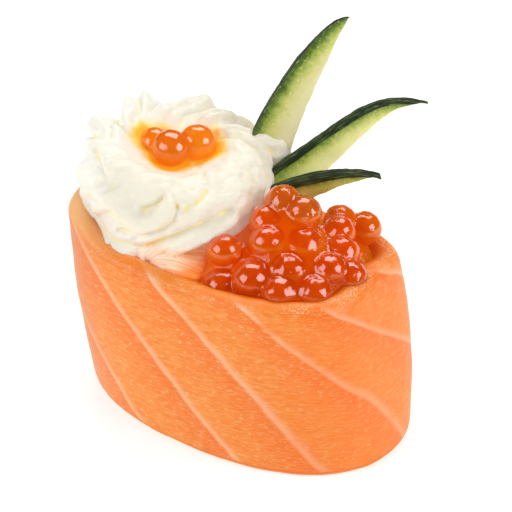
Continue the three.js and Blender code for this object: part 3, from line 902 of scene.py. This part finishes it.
# %% [markdown]
# A little cheese also sticks to the foot of the cucumber behind the rosette, in uneven dabs. Each is
# a pressed ball, and the melting below gives them one skin.

# %% Dabs
DABS = [
    (-4.9, 12.9, 40.6, 2.2),
    (-3.7, 13.5, 40, 2),
    (-2.6, 14.1, 40, 1.8),
    (-2, 14.2, 38.7, 1.7),
    (-2.9, 13.5, 38.1, 2),
    (-4.2, 12.9, 38.5, 2.1),
    (-3.1, 13, 36.8, 1.9),
]
DAB_PRESS = (1, 0.8, 0.9)
dabs = []
for x, y, z, radius in DABS:
    dab = ball_grid("cream_dab", 32, 20)[0]
    place_points(dab, points_of(dab) * radius * DAB_PRESS + (x, y, z))
    dabs.append(dab)
print("dabs of cheese:", len(dabs))

# %% Melt the cheese together
CREAM_VOXEL = 0.23
cream = join([rosette, smear, *dabs])
modify(cream, "REMESH", mode="VOXEL", voxel_size=CREAM_VOXEL * MM)
modify(cream, "SMOOTH", iterations=2, factor=0.5)
roughen(cream, 4, 0.4)
x, y, z = (points_of(cream) / MM).T
patted = smooth((x + y * 0.4 + 20) / 14) * smooth((z - 34) / 3)
roughen(cream, 1.5, 0.3, patted)
roughen(cream, 0.8, 0.08)
modify(cream, "SMOOTH", iterations=1, factor=0.5)


# %% Where it creases
CREASE_ROUNDS = 24


def crease_depth(piece, rounds):
    """How deep each point lies under a smoothed copy of its surface, in millimetres."""
    edges = np.zeros(2 * len(piece.data.edges), dtype=int)
    piece.data.edges.foreach_get("vertices", edges)
    first, second = edges.reshape(-1, 2).T
    points = points_of(piece) / MM
    links = np.bincount(first, minlength=len(points)) + np.bincount(second, minlength=len(points))
    smoothed = points.copy()
    for _ in range(rounds):
        total = np.zeros_like(smoothed)
        np.add.at(total, first, smoothed[second])
        np.add.at(total, second, smoothed[first])
        smoothed = total / links[:, None]
    normals = np.zeros(3 * len(points))
    piece.data.vertices.foreach_get("normal", normals)
    return ((smoothed - points) * normals.reshape(-1, 3)).sum(1)


creases = crease_depth(cream, CREASE_ROUNDS)
store(cream, "crease", creases)
soften(cream)
print("creases reach, mm:", round(float(creases.max()), 2))

# %% [markdown]
# Soft cheese is nearly white and lets light in a little, so it looks soft. Where the surface folds
# in it is painted yellower, which is painted shade, orange juice has spread round the eggs in the
# crater, and orange shows between the streaks of the smear. It also glows a little, which is painted
# light that lifts its shade. The folds could be found by ray tracing each time the finish is drawn,
# but a depth stored in the mesh is exact.

# %% Loose eggs: where they lie, how big they are and how deep they sink
LOOSE_EGGS = [
    ("left", -19.3, 2.8, 2.6, 2.2),
    ("front", -15.2, 1.2, 3.1, 1.4),
    ("right", -12.6, 5.2, 3.05, 1.7),
]


# %% Cheese
def cream_finish():
    cheese = Finish("soft_cheese")
    place = cheese.place()
    x, y, z = cheese.split(place)
    crease = cheese.stored("crease")[0]
    clouds = cheese.noise(place, 220, 3.0)
    specks = cheese.noise(place, 1400, 2.0)
    # Yellow in the creases is painted shade.
    folds = cheese.ease(crease + (clouds - 0.5) * 0.15, 0.08, 0.38)
    shaded = 1 - cheese.ease(x, -25 * MM, -15 * MM) * cheese.ease(z, 33 * MM, 38 * MM)

    def near_egg(egg_x, egg_y, radius):
        centre = Vector((egg_x, egg_y, CRATER_HEIGHT + 0.4)) * MM
        away = cheese.add("ShaderNodeVectorMath", {"operation": "DISTANCE"}, {0: place, 1: centre}, "Value")
        return 1 - cheese.ease(away + (clouds - 0.5) * 2.5 * MM, radius * 0.8 * MM, (radius + 2.8) * MM)

    left, front, right = (near_egg(*egg[1:4]) for egg in LOOSE_EGGS)
    stain = left.larger(front).larger(right)
    puddle = cheese.blend(cheese.ease(stain, 0.4, 0.8), colour(254, 212, 120), colour(254, 184, 36))

    across = x - FAN_X * MM
    fan = across.math("ARCTAN2", y - FAN_Y * MM, across)
    wave = cheese.noise(cheese.vector(fan * 20.0, 0.0), 1.0, 2.0)
    low = 1 - cheese.ease(z, 32.6 * MM, 34.6 * MM)
    toward_roe = x + y * -0.3
    streaked = low * cheese.ease(toward_roe, -11 * MM, -3 * MM)
    gaps = cheese.ease(wave + folds * 0.1, 0.46, 0.6) * streaked
    juicy = low * cheese.ease(toward_roe + (clouds - 0.5) * 2 * MM, -2.5 * MM, 1.5 * MM)

    body = cheese.paint(
        cheese.blend(clouds, colour(223, 217, 198), colour(232, 227, 212)),
        (shaded * 0.8, colour(231, 229, 219)),
        (folds * 0.85, colour(248, 230, 140)),
        (cheese.ease(stain, 0.0, 0.5), puddle),
        (gaps * 0.85, colour(244, 160, 84)),
        (streaked * 0.35, colour(247, 190, 130)),
        (juicy * 0.9, colour(252, 136, 26)),
    )
    cheese.set(
        Base_Color=body,
        Roughness=0.45 + 0.15 * clouds,
        IOR=1.4,
        Subsurface_Weight=0.4,
        Subsurface_Radius=(1.0, 0.75, 0.45),
        Subsurface_Scale=1.2 * MM,
        Coat_Weight=0.1,
        Coat_Roughness=0.25,
        # The glow is painted light that lifts the cheese's shade, standing in for the light it lets
        # through.
        Emission_Color=body,
        Emission_Strength=0.17,
        Normal=cheese.bump(clouds * 0.6 + specks * 0.4, 0.12 * MM),
    )
    return cheese


finish_piece(cream, cream_finish(), "cream", "cream_rosette")

# %% [markdown]
# The roe is a heap of eggs in their own glossy juice. An egg is a clear skin full of orange liquid
# with a redder drop of oil that floats near its top. Single balls in a dish of juice would show a
# hard edge where each one meets it, so the juice and all its eggs are melted into one closed shape.
# It is made twice: the outer one is the clear skin that light goes through, and a smaller and lower
# one inside it is the cloudy orange core.

# %% Roe: driving sizes
ROE_MIDDLE = np.array([8.4, -0.4])
ROE_LENGTH, ROE_WIDTH, ROE_SQUARENESS = 14.6, 18, 3.2
ROE_PEAK_X, ROE_PEAK_Y, ROE_PEAK, ROE_SLOPE, ROE_ROUND = 7, 3.4, 35.8, 0.5, 3
ROE_YAW = math.pi / 6
# How far back a row lies, and how far along it, how much higher and how big its eggs are
ROE_ROWS = [
    (-15, [(4.9, 0, 2.9), (10.6, 0, 3)]),
    (-12.2, [(0.5, 0.1, 3.2)]),
    (-11.6, [(-4.4, -0.4, 2.8), (6.4, 0.2, 2.8), (13, 0.8, 2.8), (16.3, 0, 2.8)]),
    (-7.2, [(-3.8, 1.9, 2.8), (3, 0.8, 2.9), (9.1, 0, 2.8), (15, 0, 2.8)]),
    (-3.1, [(3.1, 0.6, 2.8), (8.9, 1.7, 3), (14.5, -0.4, 2.8)]),
    (1, [(0.6, 0, 2.8), (14.9, -1, 2.8), (18.8, -0.9, 2.9)]),
    (4.6, [(7, -2.6, 2.8)]),
]
ROE_SIT = 1.3
ROE_CROWN = (5.3, 2.2, 38.3, 3.1)
ROE_JITTER = 0.15
ROE_SEED = 11


# %% Roe: where the eggs lie
def gel_height(x, y):
    """The height of the juice that the roe lies in: a cone with a round top."""
    away = np.sqrt((x - ROE_PEAK_X) ** 2 + (y - ROE_PEAK_Y) ** 2 + ROE_ROUND**2) - ROE_ROUND
    return ROE_PEAK - ROE_SLOPE * away


def roe_eggs():
    """The places and radii of the eggs, row by row, each a little off its place."""
    draw = random_from(ROE_SEED)
    eggs = []
    for back, row in ROE_ROWS:
        for along, lift, radius in row:
            u = along + ROE_JITTER * (2 * draw() - 1)
            v = back + ROE_JITTER * (2 * draw() - 1)
            x, y = turned(u, v, ROE_YAW)
            z = gel_height(x, y) + ROE_SIT + lift + ROE_JITTER * (2 * draw() - 1)
            eggs.append((x, y, z, radius))
    return np.array([*eggs, ROE_CROWN])


roe = roe_eggs()
print("eggs in the heap:", len(roe))

# %% Roe: how the juice meets what is round it
WALL_OVERLAP = 0.9
WALL_LEVEL, WALL_CLEARANCE = 0.93, 0.1
GEL_BELOW_RIM = 0.2
GEL_BRIM_SLOPE, GEL_BRIM_SINK = 0.6, 0.3
GEL_EDGE_ROUND, GEL_EDGE_POWER = 0.8, 12
GEL_BACK, GEL_BACK_SLOPE, GEL_BACK_BEND = -3, 1, 1.5
GEL_LEFT, GEL_LEFT_DROP = 5, 1.4
GEL_RIGHT, GEL_RIGHT_FILL = 10, 5
GEL_FILM = 1.2
GEL_RING, GEL_RING_REACH, GEL_RING_NARROW = 0.3, 0.9, 7


def juice_drops(x, y):
    """How much lower the juice's top lies at the left, and behind the heap."""
    across, behind = turned(x, y, -ROE_YAW)
    behind = behind - GEL_BACK - GEL_RIGHT_FILL * smooth((across - GEL_RIGHT) / 4)
    left_drop = GEL_LEFT_DROP * (1 - smooth(across / GEL_LEFT))
    back_drop = GEL_BACK_SLOPE * np.logaddexp(0, GEL_BACK_BEND * behind) / GEL_BACK_BEND
    return left_drop, back_drop


def gel_mound(name, lift, inset):
    """The juice as a closed mound that reaches the salmon, with a rise round each egg."""
    mound, lane, level = ball_grid(name, 220, 120)
    along = np.abs(np.cos(lane) / ROE_LENGTH) ** ROE_SQUARENESS
    oval_reach = (along + np.abs(np.sin(lane) / ROE_WIDTH) ** ROE_SQUARENESS) ** (-1 / ROE_SQUARENESS)
    room_reach = wall_reach(ROE_MIDDLE, WALL_LEVEL, band_thickness(WALL_TURNS) - WALL_CLEARANCE, lane)
    out = np.clip(2 * np.minimum(level, 1 - level), 0, 1)
    reach = (np.minimum(oval_reach, room_reach) + WALL_OVERLAP - inset) * out
    x = ROE_MIDDLE[0] + reach * np.cos(lane)
    y = ROE_MIDDLE[1] + reach * np.sin(lane)
    left_drop, back_drop = juice_drops(x, y)
    heap = gel_height(x, y) + lift - GEL_EDGE_ROUND * out**GEL_EDGE_POWER - left_drop
    brim = rim_beside(x, y) - GEL_BELOW_RIM - GEL_BRIM_SINK * inset + GEL_BRIM_SLOPE * (room_reach - reach)
    at_wall = smooth(1 + oval_reach - room_reach)
    surface = mix(heap, np.minimum(heap, brim - 0.5 * left_drop), at_wall) - back_drop
    surface = np.maximum(surface, RICE_TOP + GAP + GEL_FILM - inset)
    for egg_x, egg_y, _, radius in roe:
        away = np.hypot(x - egg_x, y - egg_y) / radius
        surface = surface + GEL_RING * np.exp(-((away - GEL_RING_REACH) ** 2) * GEL_RING_NARROW)
    z = np.where(level > 0.5, surface, RICE_TOP + GAP + inset)
    place_points(mound, np.stack([x, y, z], -1))
    return mound


# %% Roe: the eggs
EGG_SQUASH = (1.03, 1, 0.97)
EGG_TURN = 1.7


def egg_ball(name, centre, radius, segments, rings):
    """A ball at its place, a little out of round."""
    ball = ball_grid(name, segments, rings)[0]
    x, y, z = (points_of(ball) * EGG_SQUASH * radius).T
    x, y = turned(x, y, centre[0] * EGG_TURN)
    place_points(ball, np.stack([x, y, z], -1) + centre)
    return ball


def mark_eggs(piece, eggs):
    """Stores how far each point lies from the nearest egg's centre, and how high over it."""
    offsets = (points_of(piece) / MM)[:, None, :] - eggs[None, :, :3]
    reach = np.linalg.norm(offsets, axis=2) / eggs[None, :, 3]
    nearest = np.argmin(reach, 1)
    row = np.arange(len(nearest))
    rise = offsets[row, nearest, 2] / eggs[nearest, 3]
    store(piece, "egg", reach[row, nearest], rise)


# %% Roe: skin and core
SKIN_THICKNESS = 0.35
GEL_LIFT, GEL_DEPTH = 3.7, 1.4
SKIN_VOXEL, CORE_VOXEL = 0.25, 0.3
WRINKLE_SIZE, WRINKLE_DEPTH, LOOSE_WRINKLE_DEPTH = 1.1, 0.13, 0.07


def roe_shell(name, lift, inset, voxel, rounds):
    """The juice and all its eggs as one skin, moved in by an inset and melted together."""
    balls = [egg_ball("roe_egg", egg[:3], egg[3] - inset, 40, 24) for egg in roe]
    shell = join([gel_mound(name, lift, inset), *balls])
    modify(shell, "REMESH", mode="VOXEL", voxel_size=voxel * MM)
    modify(shell, "SMOOTH", iterations=rounds, factor=0.5)
    return shell


skin = roe_shell("roe_skin", GEL_LIFT, 0, SKIN_VOXEL, 20)
x, y, z = (points_of(skin) / MM).T
wrinkled = mix(0.25, 1, smooth(turned(x, y, -ROE_YAW)[0] / 4))
roughen(skin, WRINKLE_SIZE, WRINKLE_DEPTH, wrinkled)
core = roe_shell("roe_core", GEL_LIFT - GEL_DEPTH, SKIN_THICKNESS, CORE_VOXEL, 4)
for shell in (skin, core):
    mark_eggs(shell, roe)
    soften(shell)

# %% [markdown]
# The core carries the colour: redder oil in the top of each egg, lighter juice low down and between
# the eggs, and the lightest at the margin, where the juice is thin. It glows a little, which stands
# in for the light that bounces about inside real roe and would take very long to trace. The skin is
# clear liquid that soaks up blue, with a gloss that is stronger on the eggs than between them.


# %% Roe: the core's finish
JUICE_HALF = 14.6


def oil_finish(name, juice, top, low, glow):
    oil = Finish(name)
    place = oil.place()
    x, y, z = oil.split(place)
    reach, rise = oil.stored("egg")
    uneven = (oil.noise(place, 420, 3.0) - 0.5) * 0.5
    inside = 1 - oil.ease(reach + uneven * 0.3, 0.95, 1.2)
    between = oil.ease(reach, 0.8, 1.1)
    # A lighter band round each egg a little above its middle is painted light: the bright rim that light
    # makes where it bends through the egg.
    lit_ring = oil.ease(rise, 0.0, 0.15) * (1 - oil.ease(rise, 0.2, 0.4))
    slanted = y - x * 0.6
    out_x, out_y = ((side - middle * MM) / (JUICE_HALF * MM) for side, middle in zip((x, y), ROE_MIDDLE))
    margin = oil.ease(out_x * out_x + out_y * out_y, 0.6, 1.0) * between
    beside_cheese = (1 - oil.ease(x, 0.5 * MM, 3.5 * MM)) * between
    egg = oil.blend(oil.ease(rise + uneven, 0.1, 0.7), low, top)
    body = oil.paint(
        oil.blend(inside, juice, oil.blend(lit_ring * 0.5, egg, colour(255, 160, 60))),
        (oil.ease(slanted, -4 * MM, 2 * MM) * 0.5, colour(255, 148, 28)),
        (margin * 0.7, colour(255, 156, 24)),
        (beside_cheese * 0.75, colour(255, 170, 72)),
        ((1 - oil.ease(slanted, -16 * MM, -9 * MM)) * 0.6, colour(222, 80, 4)),
        (oil.ease(z, 37.5 * MM, 40 * MM) * 0.6, colour(214, 122, 44)),
    )
    oil.set(
        Base_Color=body,
        Roughness=0.35,
        IOR=1.2,
        Subsurface_Weight=0.6,
        Subsurface_Radius=(1.0, 0.3, 0.05),
        Subsurface_Scale=1.5 * MM,
        # At the right margin the glow is brighter and yellower, painted light that lifts the juice out of
        # its shade there.
        Emission_Color=oil.blend(margin * oil.ease(x, 14 * MM, 18 * MM), body, colour(255, 214, 70)),
        Emission_Strength=glow,
    )
    return oil


# %% Roe: the skin's finish
def skin_finish(name, shade, density):
    clear = Finish(name)
    reach, rise = clear.stored("egg")
    ripples = clear.noise(clear.place(), 700, 2.0)
    clear.set(
        Base_Color=colour(255, 240, 220),
        Roughness=0.0,
        IOR=1.36,
        Transmission_Weight=1.0,
        Coat_Weight=(0.55 - 0.38 * clear.ease(reach, 1.0, 1.25)) * clear.ease(rise, 0.1, 0.4),
        Coat_IOR=1.85,
        Coat_Roughness=0.02,
        Normal=clear.bump(ripples, 0.14 * MM),
    )
    clear.fill_volume(shade, density)
    return clear


roe_oil = oil_finish("roe_oil", colour(246, 124, 10), colour(240, 98, 6), colour(246, 120, 14), 0.12)
finish_piece(skin, skin_finish("roe_skin", (1, 0.84, 0, 1), 700), "roe", "roe_heap")
finish_piece(core, roe_oil, "roe", "roe_heap")

# %% [markdown]
# Three loose eggs lie in the crater. They are made as the heap is, a clear skin over a cloudy core,
# but each is a piece of its own, so nothing is melted. Two are lighter than the roe and one is as red.

# %% Loose eggs
# The colour of each egg's top, the colour lower down and between, and its glow. The lighter lower colour is
# partly the juice and partly painted light, the bright crescent where light comes through the egg.
LOOSE_COLOURS = {
    "left": (colour(255, 172, 20), colour(255, 190, 50), 0.48),
    "front": (colour(252, 112, 4), colour(255, 142, 12), 0.34),
    "right": (colour(255, 184, 14), colour(255, 200, 50), 0.48),
}
loose_skin = skin_finish("egg_skin", (1, 0.82, 0, 1), 1200)
for label, x, y, radius, sink in LOOSE_EGGS:
    centre = np.array([x, y, CRATER_HEIGHT + radius - sink])
    ball = egg_ball(f"egg_{label}", centre, radius, 48, 32)
    roughen(ball, WRINKLE_SIZE, LOOSE_WRINKLE_DEPTH)
    drop = egg_ball(f"egg_{label}_oil", centre, radius - SKIN_THICKNESS, 40, 28)
    for shell in (ball, drop):
        mark_eggs(shell, np.array([[*centre, radius]]))
        soften(shell)
    top, low, glow = LOOSE_COLOURS[label]
    finish_piece(ball, loose_skin, "egg", f"cream_egg_{label}")
    finish_piece(drop, oil_finish(f"egg_{label}_oil", low, top, low, glow), "egg", f"cream_egg_{label}")

# %% [markdown]
# The cucumber slices are thin wedges cut along the fruit, curved, with the dark rind along the outer
# edge. A flat outline with Solidify would give the wedge, but not its twist in the air or its round
# rind. So each one is a sphere drawn out along a curve, and its poles close the two ends.

# %% Cucumber: driving sizes
SLICE_THICKNESS = 2
SLICE_CAP = 0.03
SLICE_CORNER = 0.42
SLICE_SHARP = 60
RIND_CROWN = 0.15
# Four points that steer the rind's curve, the roll, and the rest of the shape, then the look
SLICES = {
    "tall": (
        [(-6.6, 9.1, 31), (-10.5, 7.8, 35.2), (-0.7, 20.8, 61.2), (4.8, 24.1, 61.3)],
        dict(roll=-0.43, width=7.9, taper_power=2.1, tip=0.03),
        dict(rind_depth=0.15, tint=colour(208, 201, 124), tint_share=0.4),
    ),
    "middle": (
        [(-6.3, 5.1, 34), (7.5, 19.5, 44), (8.2, 23, 49.8), (17.7, 27.7, 47)],
        dict(roll=-0.23, width=7.2, taper_power=1.3, tip=0.02),
        dict(rind_depth=1.0, tint=colour(250, 240, 150), tint_share=0.35),
    ),
    "low": (
        [(-3.2, 6.3, 31), (-2.9, 4, 37.6), (10.7, 12.8, 41.9), (14.7, 17.5, 37.7)],
        dict(roll=0.31, width=9, taper_power=1.3, tip=0.09),
        dict(rind_depth=1.1, tint=colour(188, 194, 84), tint_share=0.9),
    ),
}


# %% Cucumber: the shape
def bezier(points, share):
    """Points on a cubic curve that four points steer."""
    a, b, c, d = (np.array(point, dtype=float) for point in points)
    s = share[:, None]
    return a * (1 - s) ** 3 + 3 * b * s * (1 - s) ** 2 + 3 * c * s**2 * (1 - s) + d * s**3


def squared(wave):
    """Turns a round wave into one with flat sides and small corners."""
    return np.sign(wave) * np.abs(wave) ** SLICE_CORNER


def slice_piece(label, rind, roll, width, taper_power, tip):
    """One slice: along its rind's curve, with its flat sides turned by the roll."""
    run = Vector(rind[3]) - Vector(rind[0])
    along = run.normalized()
    edgeways = (Vector((0, 0, 1)) - along * along.z).normalized()
    edgeways.rotate(Quaternion(along, roll))
    flat = along.cross(edgeways)

    piece, lane, level = ball_grid(f"cucumber_{label}", 64, 120)
    share = np.clip((level - SLICE_CAP) / (1 - 2 * SLICE_CAP), 0, 1)
    closing = np.clip(np.minimum(level, 1 - level) / SLICE_CAP, 0, 1)
    taper = np.maximum(tip, 1 - share**taper_power)
    inner = width * taper
    half = (SLICE_THICKNESS / 2) * np.minimum(1, 0.15 + 2 * tip + 1.3 * taper)
    across = (RIND_CROWN - inner) / 2 + closing * squared(np.cos(lane)) * (RIND_CROWN + inner) / 2
    over = half * closing * squared(np.sin(lane))
    place_points(piece, bezier(rind, share) + np.outer(across, edgeways) + np.outer(over, flat))
    store(piece, "slice", share * float(run.length), RIND_CROWN - across)
    store(piece, "over", over)
    roughen(piece, 3, 0.2)
    roughen(piece, 0.9, 0.06)
    soften(piece, SLICE_SHARP)
    return piece


# %% [markdown]
# Cut cucumber goes from nearly black green at the rind through a narrow green band to pale, wet
# flesh with fine rays towards the seeds. A colour ramp over the depth below the rind gives that
# order, and noise stretched along the slice breaks it up. The slices differ, so each has its own
# depth of rind and its own tint, and the tint also holds painted light and shade: the middle slice,
# whose face lies in shade, is tinted lighter, and the low slice, which catches orange light from the
# roe, is tinted greener and darker. Pale flecks on the flesh are painted wet highlights, and a
# little glow is painted light that lifts the flesh out of its shade.

# %% Cucumber: its finish
FLESH_RAMP = [
    (0.0, colour(64, 80, 26)),
    (0.1, colour(86, 112, 34)),
    (0.2, colour(136, 160, 60)),
    (0.3, colour(180, 192, 92)),
    (0.45, colour(216, 218, 146)),
    (0.65, colour(234, 232, 188)),
    (1.0, colour(238, 232, 206)),
]
RAMP_PER_MM = 0.145


def cucumber_finish(label, rind_depth, tint, tint_share):
    """Dark streaked rind down to a depth, then flesh that turns paler, tinted towards its middle."""
    cucumber = Finish(f"cucumber_{label}")
    along, depth = cucumber.stored("slice")
    across = cucumber.stored("over")[0]
    place = cucumber.place()
    clouds = cucumber.noise(place, 300, 3.0)
    fine = cucumber.noise(place, 1500, 3.0, 0.7)
    rays = cucumber.noise(cucumber.vector(along * 1.1, depth * 0.35), 1.0, 3.0, 0.6)
    streaks = cucumber.noise(cucumber.vector(along * 0.3, across * 2.2 + depth * 2.2), 1.0, 3.0, 0.65)
    # Pale flecks on the flesh: painted wet highlights.
    painted_wet_glints = cucumber.noise(cucumber.vector(along * 1.0, depth * 2.0, 4.0), 1.0, 3.0, 0.7)
    mottled = (clouds - 0.5) * 0.2 + (rays - 0.5) * 0.22 + (fine - 0.5) * 0.2
    ramp_place = depth * RAMP_PER_MM + mottled
    flesh = cucumber.add("ShaderNodeValToRGB", {"stops": FLESH_RAMP}, {"Fac": ramp_place})
    skin = cucumber.blend(cucumber.ease(streaks, 0.48, 0.72), colour(28, 42, 14), colour(94, 116, 62))
    rind = 1 - cucumber.ease(depth - (rind_depth + (rays - 0.5) * 0.4), -0.12, 0.12)
    body = cucumber.paint(
        flesh,
        # The slice's tint, partly its own colour and partly painted light and shade.
        (cucumber.ease(depth, 0.8, 4.0) * tint_share, tint),
        (rind, skin),
        (cucumber.ease(painted_wet_glints, 0.58, 0.7) * (1 - rind) * 0.5, colour(240, 240, 206)),
    )
    cucumber.set(
        Base_Color=body,
        Roughness=0.26 + 0.2 * clouds + 0.2 * rind,
        IOR=1.4,
        Subsurface_Weight=0.35,
        Subsurface_Radius=(0.7, 1.0, 0.3),
        Subsurface_Scale=1.2 * MM,
        Coat_Weight=0.1,
        Coat_Roughness=0.12,
        # The glow is painted light that lifts the flesh out of its shade.
        Emission_Color=body,
        Emission_Strength=0.06,
        Normal=cucumber.bump(clouds * 0.5 + fine * 0.2 + streaks * 0.3, 0.15 * MM),
    )
    return cucumber


for label, (rind, shape, look) in SLICES.items():
    wedge = slice_piece(label, rind, **shape)
    finish_piece(wedge, cucumber_finish(label, **look), "cucumber", f"cucumber_slice_{label}")

# %% [markdown]
# The rice fills the band and shows only underneath, as plump grains that stick together, and in a
# narrow gap at the back, where the roe's juice has soaked its top. A heap of full grains would cost
# many faces that nobody sees, so a plain block fills the band and grains are set into its underside,
# each a ball drawn out long and pressed flat where it rests.

# %% Rice: driving sizes
BLOCK_BOTTOM = 0.7
BLOCK_BELOW_RIM = 1
BLOCK_SHARP = 50
GRAIN_SIZE = (6.4, 2.8, 2.3)
GRAIN_PITCH, GRAIN_ROW_PITCH = 3.9, 3
GRAIN_STRAY = 0.5
GRAIN_BEND = 0.12
GRAIN_RISE, GRAIN_LOWEST = 0.2, 0.05
GRAIN_FIELD_X, GRAIN_FIELD_Y = 22, 13.2
GRAIN_SEED = 5

# %% Rice: the block
block, lane, level = ball_grid("rice_core", 96, 40)
out = np.clip(3 * np.minimum(level, 1 - level), 0, 1)
top = np.minimum(RICE_TOP, rim_height(lane) - BLOCK_BELOW_RIM)
height = mix(BLOCK_BOTTOM, top, np.clip(3 * level - 1, 0, 1))
side = wall_point(lane, height / BAND_HEIGHT, band_thickness(lane) + GAP)
place_points(block, np.column_stack([side * out[:, None], height]))
soften(block, BLOCK_SHARP)


# %% Rice: the grains
def grain_at(x, y, yaw):
    """A long grain, bent a little and pressed flat where it rests."""
    grain = ball_grid("rice_grain", 16, 10)[0]
    u, v, w = (points_of(grain) * np.array(GRAIN_SIZE) / 2).T
    u, v = turned(u, v + GRAIN_BEND * (u / 2) ** 2, yaw)
    w = np.maximum(w + BLOCK_BOTTOM + GRAIN_RISE, GRAIN_LOWEST)
    place_points(grain, np.stack([x + u, y + v, w], -1))
    return grain


draw = random_from(GRAIN_SEED)
grains = []
for row in range(-4, 5):
    for column in range(-6, 7):
        x = GRAIN_PITCH * (column + 0.5 * (row % 2)) + GRAIN_STRAY * (2 * draw() - 1)
        y = GRAIN_ROW_PITCH * row + GRAIN_STRAY * (2 * draw() - 1)
        yaw = math.pi * draw()
        if math.hypot(x / GRAIN_FIELD_X, y / GRAIN_FIELD_Y) <= 1:
            grains.append(grain_at(x, y, yaw))
rice = join(grains)
soften(rice)
print("grains of rice:", len(grains))


# %% Rice: its finish
def rice_finish():
    starch = Finish("cooked_rice")
    place = starch.place()
    x, _, z = starch.split(place)
    clouds = starch.noise(place, 300, 3.0)
    soaked = starch.ease(z, (RICE_TOP - 2) * MM, RICE_TOP * MM) * starch.ease(x, -6 * MM, 0)
    body = starch.blend(clouds, colour(232, 228, 214), colour(250, 248, 240))
    starch.set(
        Base_Color=starch.blend(soaked * 0.9, body, colour(232, 116, 24)),
        Roughness=0.35 + 0.2 * clouds,
        Subsurface_Weight=0.4,
        Subsurface_Radius=(1.0, 0.9, 0.7),
        Subsurface_Scale=1.5 * MM,
        Normal=starch.bump(clouds, 0.1 * MM),
    )
    return starch


cooked_rice = rice_finish()
finish_piece(block, cooked_rice, "rice", "rice_block")
finish_piece(rice, cooked_rice, "rice", "rice_block")
